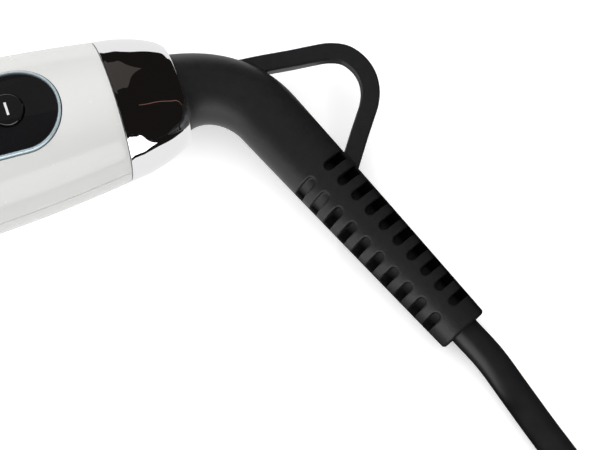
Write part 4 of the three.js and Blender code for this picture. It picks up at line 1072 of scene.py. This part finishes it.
def stadium(inset, sides=48):
    """The panel's outline, moved in by the inset, as (x, y) points."""
    half = PANEL_HALF_WIDTH - inset
    turns = [math.pi * i / sides - math.pi / 2 for i in range(sides + 1)]
    rear = [(PANEL_REAR + half * math.cos(a), half * math.sin(a)) for a in turns]
    steps = [PANEL_REAR + (PANEL_FRONT - PANEL_REAR) * i / 40 for i in range(1, 40)]
    top = [(x, half) for x in steps]
    ahead = [(PANEL_FRONT - half * math.cos(a), -half * math.sin(a)) for a in turns]
    return rear + top + ahead + [(x, -half) for x in reversed(steps)]


def upper_shell():
    window = prism("panel_window", stadium(-0.25), 8, 30)
    return carved(shell("handle_shell_white_upper", 1, PARTING_HEIGHT + PARTING_GAP), window)


def lower_shell():
    made = shell("handle_shell_white_lower", -1, PARTING_HEIGHT - PARTING_GAP)
    turned = Matrix.Rotation(-math.pi / 2, 4, "Y")
    for x, y in SCREW_PLACES:
        floor = -math.sqrt((handle_radius(x) - 0.8) ** 2 - y ** 2)
        place = Matrix.Translation((x, y, 0)) @ turned
        post = placed(lathe("screw_post", [(floor + 0.3, 3.9), (PARTING_HEIGHT - 0.3, 3.9)], 32), place)
        made = carved(made, post, "UNION")
        bore = softened([(-25, 3.1), (SCREW_HEAD_LEVEL, 3.1), (SCREW_HEAD_LEVEL, 1.7), (20, 1.7)], 0.1, 1)
        made = carved(made, placed(lathe("screw_bore", bore, 32), place))
    return made


add_piece(upper_shell(), white_plastic, "handle", ["handle_shell_upper"], angle=40)
add_piece(lower_shell(), white_plastic, "handle", ["handle_shell_lower"], angle=40)

# %% [markdown]
# ## The control panel
#
# A black lens lies in the shell's window, with a thin plated bezel round it. Both follow the handle's
# curve, so they are laid out as rows across the handle, each row a closed loop over the top and back
# underneath. The keys are made the same way, a little higher, and the lens has a round hole for each.

# %% Pieces that follow the handle
def on_handle(x, y, lift):
    return (x, y, math.sqrt((handle_radius(x) + lift) ** 2 - y ** 2))


def followed(name, half_width, start, end, low, high, edge=0.12, rows=48, columns=18):
    """A closed slab between two heights over the handle, as wide at each x as half_width says."""
    middle, reach = (start + end) / 2, (end - start) / 2
    points = []
    for row in range(rows + 1):
        share = -math.cos(math.pi * row / rows)
        x = middle + reach * share
        half = max(half_width(x), 0.02)
        rim = edge * min(1, max(0, (reach - abs(x - middle)) / edge)) if edge else 0
        top = high - edge + rim
        inner = min(half, 1) * edge
        corner = [(half, low), (half, top - rim * 0.9), (half - inner * 0.4, top - rim * 0.25)]
        loop = corner + [((half - inner) * (1 - 2 * i / columns), top) for i in range(columns + 1)]
        loop += [(-y, lift) for y, lift in reversed(corner)]
        loop += [(-half * (1 - 2 * i / columns), low) for i in range(1, columns)]
        points += [on_handle(x, y, lift) for y, lift in loop]
    faces = ring_faces(rows + 1, len(loop), caps=True)
    return outward(mesh_of(name, points, faces))


def round_width(centre, radius):
    return lambda x: math.sqrt(max(radius ** 2 - (x - centre) ** 2, 0))


def stadium_width(inset):
    half = PANEL_HALF_WIDTH - inset
    return lambda x: math.sqrt(max(half ** 2 - max(x - PANEL_REAR, PANEL_FRONT - x, 0) ** 2, 0))


# %% Bezel, lens and keys
BEZEL_SECTION = [
    (0, -1.4), (0, 0.2), (0.08, 0.4), (0.2, 0.46), (0.38, 0.46), (0.5, 0.4), (0.58, 0.2), (0.58, -1.4),
]
LENS_INSET = 0.66
LENS_TOP = 0.15
KEY_TOP = 0.85
KEYS = {"power": (-79, 4.2), "plus": (-33, 3.4), "minus": (-22, 3.4)}


def bezel():
    """A thin frame between two outlines of the panel."""
    rows = [[on_handle(x, y, lift) for x, y in stadium(inset)] for inset, lift in BEZEL_SECTION]
    faces = ring_faces(len(rows), len(rows[0]), closed_rows=True)
    return outward(mesh_of("panel_bezel_plated", [point for row in rows for point in row], faces))


def lens():
    start, end = -(PANEL_FROM_TAIL + PANEL_LENGTH) + LENS_INSET, -PANEL_FROM_TAIL - LENS_INSET
    made = followed("panel_lens_gloss", stadium_width(LENS_INSET), start, end, -1.8, LENS_TOP, rows=90)
    for x, radius in KEYS.values():
        made = carved(made, prism("key_hole", disc(radius + 0.3, 64, (x, 0)), 10, 30))
    return made


add_piece(bezel(), bezel_metal, "handle", ["panel_bezel"], angle=40)
add_piece(lens(), black_gloss, "handle", ["panel_lens"])
for key, (x, radius) in KEYS.items():
    made = followed(key + "_key_cap", round_width(x, radius), x - radius, x + radius, -3.2, KEY_TOP, 0.25)
    add_piece(made, black_gloss, key + "_key", [key + "_button"])

# %% [markdown]
# The marks on the keys, and the short scale of the display, are printed: thin ink on the gloss. They are
# plain signs that any iron has.

# %% Printed marks
INK = 0.05


def ink_bar(x, y_half, x_half, lift):
    return followed("ink", lambda place: y_half, x - x_half, x + x_half, lift - INK, lift + INK, 0, 6, 6)


def ink_arc(x, radius, lift):
    turns = [math.radians(35 + 290 * i / 40) for i in range(41)]
    line = [on_handle(x + radius * math.cos(a), radius * math.sin(a), lift) for a in turns]
    return sweep("ink", line, box_outline(0.2, INK, 0.02, 2))


power_x, plus_x, minus_x = (KEYS[key][0] for key in ("power", "plus", "minus"))
marks = {
    "power": [ink_arc(power_x, 1.6, KEY_TOP), ink_bar(power_x + 1.5, 0.2, 1.0, KEY_TOP)],
    "plus": [ink_bar(plus_x, 0.24, 1.4, KEY_TOP), ink_bar(plus_x, 1.4, 0.24, KEY_TOP + 0.02)],
    "minus": [ink_bar(minus_x, 1.4, 0.24, KEY_TOP)],
}
for key, shapes in marks.items():
    add_piece(together(key + "_mark", shapes), mark_ink, key + "_key")
scale = [ink_bar(-46 - 3.4 * i, 1.2 + 0.45 * i, 0.55, LENS_TOP) for i in range(6)]
add_piece(together("display_scale", scale), mark_ink, "handle")

# %% [markdown]
# ## Barrel, cool tip and collar
#
# The barrel is a drawn steel tube of 25 mm. Its front is closed by a cool tip of black plastic, which a
# finger may touch, and a black collar keeps the hot tube away from the white handle. All three are turned
# shapes. Their edges get the rounds that moulding and polishing give.

# %% Barrel, tip and collar
def turned(name, profile, radius, closed, sides=128):
    """A lathe shape with its corners softened."""
    return lathe(name, softened(profile, radius, 4, closed), sides, closed)


barrel_end = -HANDLE_LENGTH - BARREL_LENGTH
TUBE_BORE = BARREL_RADIUS - 0.9
TUBE_INSIDE = -138
outline = [
    (barrel_end, TUBE_BORE), (barrel_end, BARREL_RADIUS), (TUBE_INSIDE, BARREL_RADIUS),
    (TUBE_INSIDE, TUBE_BORE),
]
tube = turned("barrel_tube_polished", outline, 0.25, True, 160)
add_piece(tube, barrel_steel, "handle", ["barrel_tube"])
TIP_LENGTH = 22
TIP_OUTSIDE = [
    (0, 0.5), (0, 5.4), (0.8, 7.6), (2.6, 9.2), (6, 10.3), (8.6, 10.9), (8.8, 10.5), (9.6, 10.5), (9.8, 11.1),
    (12.6, 11.55), (12.8, 11.15), (13.6, 11.15), (13.8, 11.75), (18, 12.2), (20, 12.9), (21.7, 12.9),
    (21.7, BARREL_RADIUS - 1.2), (TIP_LENGTH + 10, BARREL_RADIUS - 1.2), (TIP_LENGTH + 10, 0.5),
]
outline = [(barrel_end - TIP_LENGTH + x, radius) for x, radius in TIP_OUTSIDE]
tip = turned("cool_tip_grooved", outline, 0.5, False)
add_piece(tip, black_plastic, "handle", ["cool_tip"], angle=50)


COLLAR_FRONT = -161
COLLAR_SEAM = -HANDLE_LENGTH - GAP
SPIGOT_END = -144
RIVET_PLACE = (-155.5, 0, -8)


def collar_mesh():
    """The collar with a boss on each side for the stand's rivets."""
    spigot = handle_radius(SPIGOT_END) - SHELL_WALL - GAP
    bore = BARREL_RADIUS + GAP
    profile = [
        (COLLAR_FRONT, bore), (COLLAR_FRONT, 14.3), (-158, 15.8), (-154, 17.0), (COLLAR_SEAM, 17.2),
        (COLLAR_SEAM, spigot), (SPIGOT_END, spigot), (SPIGOT_END, bore),
    ]
    made = turned("front_collar_black", profile, 0.8, True)
    for side in (-1, 1):
        sideways = Matrix.Translation(RIVET_PLACE) @ Matrix.Rotation(side * math.pi / 2, 4, "Z")
        boss = [(10, 4), (17.8, 4), (18.1, 3.7)]
        made = carved(made, placed(lathe("boss", boss, 48), sideways), "UNION")
        made = carved(made, placed(lathe("rivet_hole", [(14.2, 1.95), (22, 1.95)], 32), sideways))
    return carved(made, lathe("barrel_bore", [(-170, bore), (-140, bore)], 128))


add_piece(collar_mesh(), black_plastic, "handle", ["front_collar"], angle=50)

# %% [markdown]
# ## The clip
#
# The clip is pressed from one strip of steel: a long spoon that lies on the barrel, a neck that rises over
# the hinge, and a tongue under the thumb lever. It is drawn as a grid along its middle line. Each row is
# bent to the barrel's radius on the spoon and flattens over the neck, as the sheet does in the press.

# %% Clip plate
PIVOT = (-170, 17.5)
CLIP_FRONT = -306
CLIP_WIDE = 11.5
CLIP_NECK = 7.6
CLIP_RADIUS = 13.7
CLIP_SHEET = 1.0
EAR_RADIUS = 3.2
EAR_SIDES = (6.6, 7.6)
PIN_HOLE_RADIUS = 1.9
NECK_START = -203
NECK_LENGTH = 16
LEVER_FRAME = Matrix.Translation((-165, 0, 22.1)) @ Matrix.Rotation(math.radians(-27), 4, "Y")
CLIP_LINE = [
    (-187, CLIP_RADIUS), (-184.5, 13.8), (-183, 14.4), (-177.2, 21.0), (-175.4, 21.8), (-167, 22.05),
    (-164.2, 22.5),
]


def clip_half_width(x):
    """Round at the front, full along the barrel, and drawn in to the neck."""
    ahead = x - CLIP_FRONT
    if ahead < CLIP_WIDE:
        return math.sqrt(max(CLIP_WIDE ** 2 - (CLIP_WIDE - ahead) ** 2, 0.09))
    share = min(max((x - NECK_START) / NECK_LENGTH, 0), 1)
    return CLIP_WIDE + (CLIP_NECK - CLIP_WIDE) * share * share * (3 - 2 * share)


def clip_mesh():
    columns = 28
    straight = CLIP_LINE[0][0] - CLIP_FRONT - CLIP_WIDE
    front_rows = [CLIP_FRONT + CLIP_WIDE * (1 - math.cos(math.pi / 2 * i / 24)) for i in range(25)]
    rows = [(x, CLIP_RADIUS, 1) for x in front_rows]
    rows += [(CLIP_FRONT + CLIP_WIDE + straight * i / 60, CLIP_RADIUS, 1) for i in range(1, 61)]
    bend = spline([(x, 0, z) for x, z in CLIP_LINE], 6)
    for i, point in enumerate(bend[1:], 1):
        rows.append((point.x, point.z, max(0, 1 - i / 12) ** 2))
    last = [LEVER_FRAME @ Vector((4 + 36 * i / 8, 0, 0)) for i in range(9)]
    rows += [(point.x, point.z, 0) for point in last]
    points = []
    for x, z, curl in rows:
        half = clip_half_width(x)
        turn = math.asin(half / CLIP_RADIUS)
        for column in range(columns + 1):
            angle = turn * (2 * column / columns - 1)
            drop = curl * CLIP_RADIUS * (1 - math.cos(angle))
            points.append((x, CLIP_RADIUS * math.sin(angle), z - drop))
    sheet = outward(mesh_of("clip_sheet", points, ring_faces(len(rows), columns + 1, closed_sides=False)))
    made = formed("clip_plate_spoon", sheet, 0.2, wall=CLIP_SHEET, offset=0)
    upright = Matrix.Rotation(math.pi / 2, 4, "X")
    low = [math.radians(180 + 180 * i / 20) for i in range(21)]
    ear = [(PIVOT[0] + EAR_RADIUS * math.cos(a), PIVOT[1] + EAR_RADIUS * math.sin(a)) for a in low]
    ear = [(-165.4, 21.9), (-175.6, 21.6)] + ear
    hole = [(PIVOT[0] + x, PIVOT[1] + z) for x, z in disc(PIN_HOLE_RADIUS, 24)]
    for side in (-1, 1):
        near, far = sorted(side * reach for reach in EAR_SIDES)
        made = carved(made, placed(prism("ear", ear, near, far), upright), "UNION")
    return carved(made, placed(prism("pin_hole", hole, -10, 10), upright))


add_piece(clip_mesh(), brushed_steel, "clip", ["clip_plate"], angle=40)

# %% [markdown]
# The thumb lever is a black moulding over the tongue, long and round-ended, with a shallow dish for the
# thumb and three low ribs so that it doesn't slip.

# %% Thumb lever
LEVER_START = 3
LEVER_END = 48
LEVER_HALF_WIDTH = 9.5
LEVER_BOTTOM = -1.4
LEVER_TOP = 4.2
LEVER_ROUND = 0.9
CHANNEL = [(-5, -7.9), (42.3, -7.9), (42.3, 7.9), (-5, 7.9)]
CHANNEL_ROOF = 0.8
DISH_RADIUS = 60
DISH_CENTRE = Vector((28, 0, 63.1))


def lever_mesh():
    half = LEVER_HALF_WIDTH
    turns = [math.pi * i / 32 - math.pi / 2 for i in range(33)]
    rear = [(LEVER_END - half + half * math.cos(a), half * math.sin(a)) for a in turns]
    ahead = [(LEVER_START + half - half * math.cos(a), -half * math.sin(a)) for a in turns]
    block = prism("lever_blank", rear + ahead, LEVER_BOTTOM, LEVER_TOP)
    made = formed("thumb_lever_dished", block, LEVER_ROUND, 5)
    sideways = Matrix.Translation(DISH_CENTRE) @ Matrix.Rotation(math.pi / 2, 4, "Z")
    dish = lathe("dish", [(-20, DISH_RADIUS), (20, DISH_RADIUS)], 512)
    made = carved(made, placed(dish, sideways))
    return carved(made, prism("channel", CHANNEL, -5, CHANNEL_ROOF))


LEVER = IRON @ Matrix.Translation(LEVER_FRAME.translation * MM) @ LEVER_FRAME.to_3x3().to_4x4()
add_piece(lever_mesh(), black_plastic, "clip", ["thumb_lever"], LEVER, angle=30)
ribs = []
for i in range(3):
    x = 24 + 4 * i
    level = DISH_CENTRE.z - math.sqrt(DISH_RADIUS ** 2 - (x - DISH_CENTRE.x) ** 2)
    line = [(x, y, level - 0.05) for y in (-6, -5.4, 0, 5.4, 6)]
    ribs.append(sweep("rib", line, box_outline(0.5, 0.35, 0.2)))
add_piece(together("thumb_lever_ribs", ribs), black_plastic, "clip", place=LEVER)

# %% [markdown]
# ## Spring, foot pad and plug
#
# The clip's spring is a fine wire wound round the pin. The stand's foot wears a rubber pad. The plug is a
# generic flat moulding with a grooved tail, made from cross-sections that go from round to almost square.

# %% Spring and foot pad
PIN_RADIUS = 1.6
WIRE_RADIUS = 0.45
SPRING_PLAY = 0.4
SPRING_SPAN = 8.6
SPRING_TURNS = 5
PAD_HALF_WIDTH = 3
PAD_REACH = 12
PAD_THICKNESS = 1.8


def spring_line():
    radius = PIN_RADIUS + SPRING_PLAY + WIRE_RADIUS
    side = SPRING_SPAN / 2
    x, z = PIVOT
    coil = []
    for i in range(181):
        angle = -math.pi / 2 + 2 * math.pi * SPRING_TURNS * i / 180
        y = -side + SPRING_SPAN * i / 180
        coil.append((x + radius * math.cos(angle), y, z + radius * math.sin(angle)))
    level = BARREL_RADIUS + GAP + 1 + WIRE_RADIUS + GAP
    first = [(x - 5.5, -side, level), (x - 3, -side, level + 0.15)]
    last = [(x + 3, side, level + 0.15), (x + 5.5, side, level)]
    return first + coil + last


def foot_pad():
    turns = [math.pi * i / 20 for i in range(21)]
    end = [(PAD_HALF_WIDTH * math.cos(a), PAD_REACH + PAD_HALF_WIDTH * math.sin(a)) for a in turns]
    return prism("stand_foot_rubber", end + [(-x, -y) for x, y in end], 0, PAD_THICKNESS)


wire = sweep("clip_spring_wire", spring_line(), disc(WIRE_RADIUS, 12), up=Vector((0.02, 1, 0.01)))
add_piece(wire, dull_steel, "handle", ["clip_spring"], angle=80)
foot = Vector(next(m for m in frame["record"]["mounts"] if m["name"] == "stand_foot")["pos_m"])
pad = add_piece(foot_pad(), boot_rubber, "stand", ["stand_foot_pad"], Matrix.Translation(foot))
bevelled(pad, 0.4, 3, 50)

# %% Plug
PLUG = table_under_mouth @ Matrix.Translation(PLUG_ENTRY * MM)
PLUG = PLUG @ PLUG_WAY.to_track_quat("X", "Z").to_matrix().to_4x4()
PLUG_NECK = 26
PLUG_SHOULDER = 43
PLUG_ROUND = 1.4
PLUG_ROUND_START = 60.6
ENTRY_RADIUS = 3.9
NECK_GROWTH = 0.9
NECK_RADIUS = 4.8
FACE_GROWTH = (8.6, 2.0)
GROOVE_DEPTH = 0.75
GROOVE_PITCH = 4.4
GROOVED = (2, 24)
PIN_SPREAD = 9.3
PIN_OUTLINE = [(55, 2), (79.6, 2), (80.6, 1.5), (81, 0.7)]
SLEEVE_OUTLINE = [(61, 1.4), (61, 2.03), (71, 2.03), (71, 1.4)]


def plug_section(x):
    """Half width, half height and squareness of the plug, x millimetres on from the cord's entry."""
    if x < PLUG_NECK:
        wave = max(0, math.sin(2 * math.pi * (x - GROOVED[0]) / GROOVE_PITCH))
        groove = GROOVE_DEPTH * wave ** 0.5 if GROOVED[0] < x < GROOVED[1] else 0
        radius = ENTRY_RADIUS + NECK_GROWTH * x / PLUG_NECK - groove
        return radius, radius, 0
    share = min((x - PLUG_NECK) / (PLUG_SHOULDER - PLUG_NECK), 1)
    grown = share * share * (3 - 2 * share)
    taper = 0.4 * (x - PLUG_SHOULDER) / 19 if x > PLUG_SHOULDER else 0
    end = max(0, (x - PLUG_ROUND_START) / PLUG_ROUND)
    rounded = PLUG_ROUND * (1 - math.sqrt(max(1 - end * end, 0)))
    half_width, half_height = (NECK_RADIUS + growth * grown for growth in FACE_GROWTH)
    return half_width + taper - rounded, half_height - rounded, grown


def plug_mesh():
    sides = 72
    body = PLUG_ROUND_START - PLUG_NECK
    rows = [PLUG_NECK * i / 78 for i in range(78)] + [PLUG_NECK + body * i / 50 for i in range(50)]
    rows += [PLUG_ROUND_START + PLUG_ROUND * math.sin(math.pi / 2 * i / 8) for i in range(9)]
    points = []
    for x in rows:
        half_width, half_height, square = plug_section(x)
        power = 1 / (1 + 0.9 * square)
        for side in range(sides):
            a = 2 * math.pi * side / sides
            c, s = math.cos(a), math.sin(a)
            y = half_width * math.copysign(abs(c) ** power, c)
            points.append((x, y, half_height * math.copysign(abs(s) ** power, s)))
    return outward(mesh_of("plug_moulding", points, ring_faces(len(rows), sides, caps=True)))


plug = add_piece(plug_mesh(), black_plastic, "swivel", ["plug_body"], PLUG, angle=40)
cord_pieces = [tie, tie_end, plug]
for side, name in ((1, "live"), (-1, "neutral")):
    beside = PLUG @ Matrix.Translation((0, side * PIN_SPREAD * MM, 0))
    pin = lathe("plug_pin_" + name + "_round", PIN_OUTLINE, 48)
    sleeve = lathe("pin_sleeve_" + name + "_round", SLEEVE_OUTLINE, 48, closed=True)
    cord_pieces += [
        add_piece(pin, brushed_steel, "swivel", ["plug_pin_" + name], beside),
        add_piece(sleeve, black_plastic, "swivel", ["pin_sleeve_" + name], beside),
    ]

# %% [markdown]
# ## What the engineering model already has right
#
# Brackets, pins, rivets, screws and the whole inside are simple machined or bought shapes, and the
# engineering model has them exactly. They keep its mesh and get a finish. The ones that show get a small
# bevel, too.

# %% Finishes for the remaining nodes
finishes = {
    "polished_steel": brushed_steel, "spring_steel": dull_steel, "black_plastic": black_plastic,
    "aluminium": aluminium, "ceramic": ceramic, "board": board_mask, "grey_plastic": grey_plastic,
    "lead_jacket": lead_silicone, "brass": brass,
}
SHOWING = {
    "clip_bracket": 0.2, "stand_frame": 0.25, "clip_pin": 0.3, "lever_rivet_front": 0.3,
    "lever_rivet_rear": 0.3, "stand_rivet_left": 0.35, "stand_rivet_right": 0.35, "handle_screw_front": 0.2,
    "handle_screw_left": 0.2, "handle_screw_right": 0.2,
}
for part in frame["record"]["subparts"]:
    node = frame["nodes"].get(part["node"])
    if node is None or node.hide_render:
        continue
    node.data.materials.clear()
    node.data.materials.append(finishes[part["material_slot"]])
    if node.name in SHOWING:
        bevelled(node, SHOWING[node.name])
print("finished", len(frame["nodes"]), "nodes")

# %% [markdown]
# ## The studio
#
# The iron lies on a plain pale table. Soft light from above fills the white plastic, and it is hidden from
# mirrors, because a chrome ring shows what is round it. Such a ring is surrounded on purpose: the bright
# table near it, a low softbox on the cord's side, and darkness everywhere else, broken only by a dim brown
# screen and a thin boom. So mirrors see a smaller table than the camera does, as a card of its own.

# %% Table and lights
TABLE_GLOW = 0.3
TABLE_HALF = 3000


def table_skin(place):
    return {
        "Base Color": place.noise(60, 2).between((0.93, 0.93, 0.93), (0.95, 0.95, 0.95)),
        "Roughness": 0.6 + place.noise(2, 2) * 0.1,
    }


def card_skin(place):
    return {"Roughness": 0.9 + place.noise(9) * 0.1}


def glowing(material, colour, strength):
    """The same material, giving off light of its own."""
    shader = material.node_tree.nodes["Principled BSDF"]
    shader.inputs["Emission Color"].default_value = (*colour, 1)
    shader.inputs["Emission Strength"].default_value = strength
    return material


def stage_sheet(name, corners, material, hidden_from):
    """A flat sheet of the studio. Its corners are places in millimetres."""
    mesh = mesh_of(name, corners, [tuple(range(len(corners)))])
    mesh.materials.append(material)
    sheet = linked(name, mesh)
    for rays in hidden_from:
        setattr(sheet, "visible_" + rays, False)


def card(name, corners, colour, radiance):
    """A glowing sheet that only mirrors see."""
    glow = glowing(finish(name + "_glow", (0, 0, 0), 1.0, pattern=card_skin), colour, radiance)
    stage_sheet(name, corners, glow, ["camera", "diffuse", "shadow"])


def soft_light(name, place, width, height, radiance):
    """A rectangular light that faces the ring. Its power follows from its size and its brightness."""
    data = bpy.data.lights.new(name, "AREA")
    data.shape = "RECTANGLE"
    data.size = width
    data.size_y = height
    data.energy = radiance * math.pi * width * height
    lamp = linked(name, data)
    lamp.location = IRON.translation + place
    lamp.rotation_mode = "QUATERNION"
    lamp.rotation_quaternion = place.to_track_quat("Z", "Y")
    lamp.visible_camera = False
    lamp.visible_glossy = False


table_white = finish("table_white", (0.94, 0.94, 0.94), 0.6, pattern=table_skin)
glowing(table_white, (1, 1, 1), TABLE_GLOW)
far = [(x * TABLE_HALF, y * TABLE_HALF, -0.2) for x, y in ((-1, -1), (1, -1), (1, 1), (-1, 1))]
stage_sheet("table", far, table_white, ["glossy"])
near = [(-2500, -44), (158, -44), (168, -35), (200, 80), (1300, 2500), (-2500, 2500)]
card("table_in_mirrors", [(x, y, -0.1) for x, y in near], (1, 0.99, 0.985), 0.92)
soft_light("overhead_fill", Vector((0, 0.1, 1.3)), 2.6, 2.6, 1.9)
soft_light("side_fill", direction(math.radians(-10), math.radians(30)), 0.9, 0.6, 1.6)
soft_light("back_fill", direction(math.radians(170), math.radians(30)), 0.9, 0.6, 1.2)
card("low_softbox", [(-330, -62, 1), (184, -62, 1), (168, -62, 55), (-330, -62, 55)], (1, 1, 1), 2.0)
screen = [(420, 300, 260), (260, 500, 200), (-60, 620, 420), (60, 200, 700), (330, 60, 520)]
card("brown_screen", screen, (1, 0.86, 0.78), 0.05)
card("boom", [(440, -150, 420), (700, -110, -90), (706, -104, -90), (446, -144, 420)], (1, 0.5, 0.38), 0.22)

room = bpy.data.worlds.new("studio_room")
bpy.context.scene.world = room
room.use_nodes = True
room.node_tree.nodes["Background"].inputs["Color"].default_value = (0.02, 0.017, 0.015, 1)
room.node_tree.nodes["Background"].inputs["Strength"].default_value = 0.45
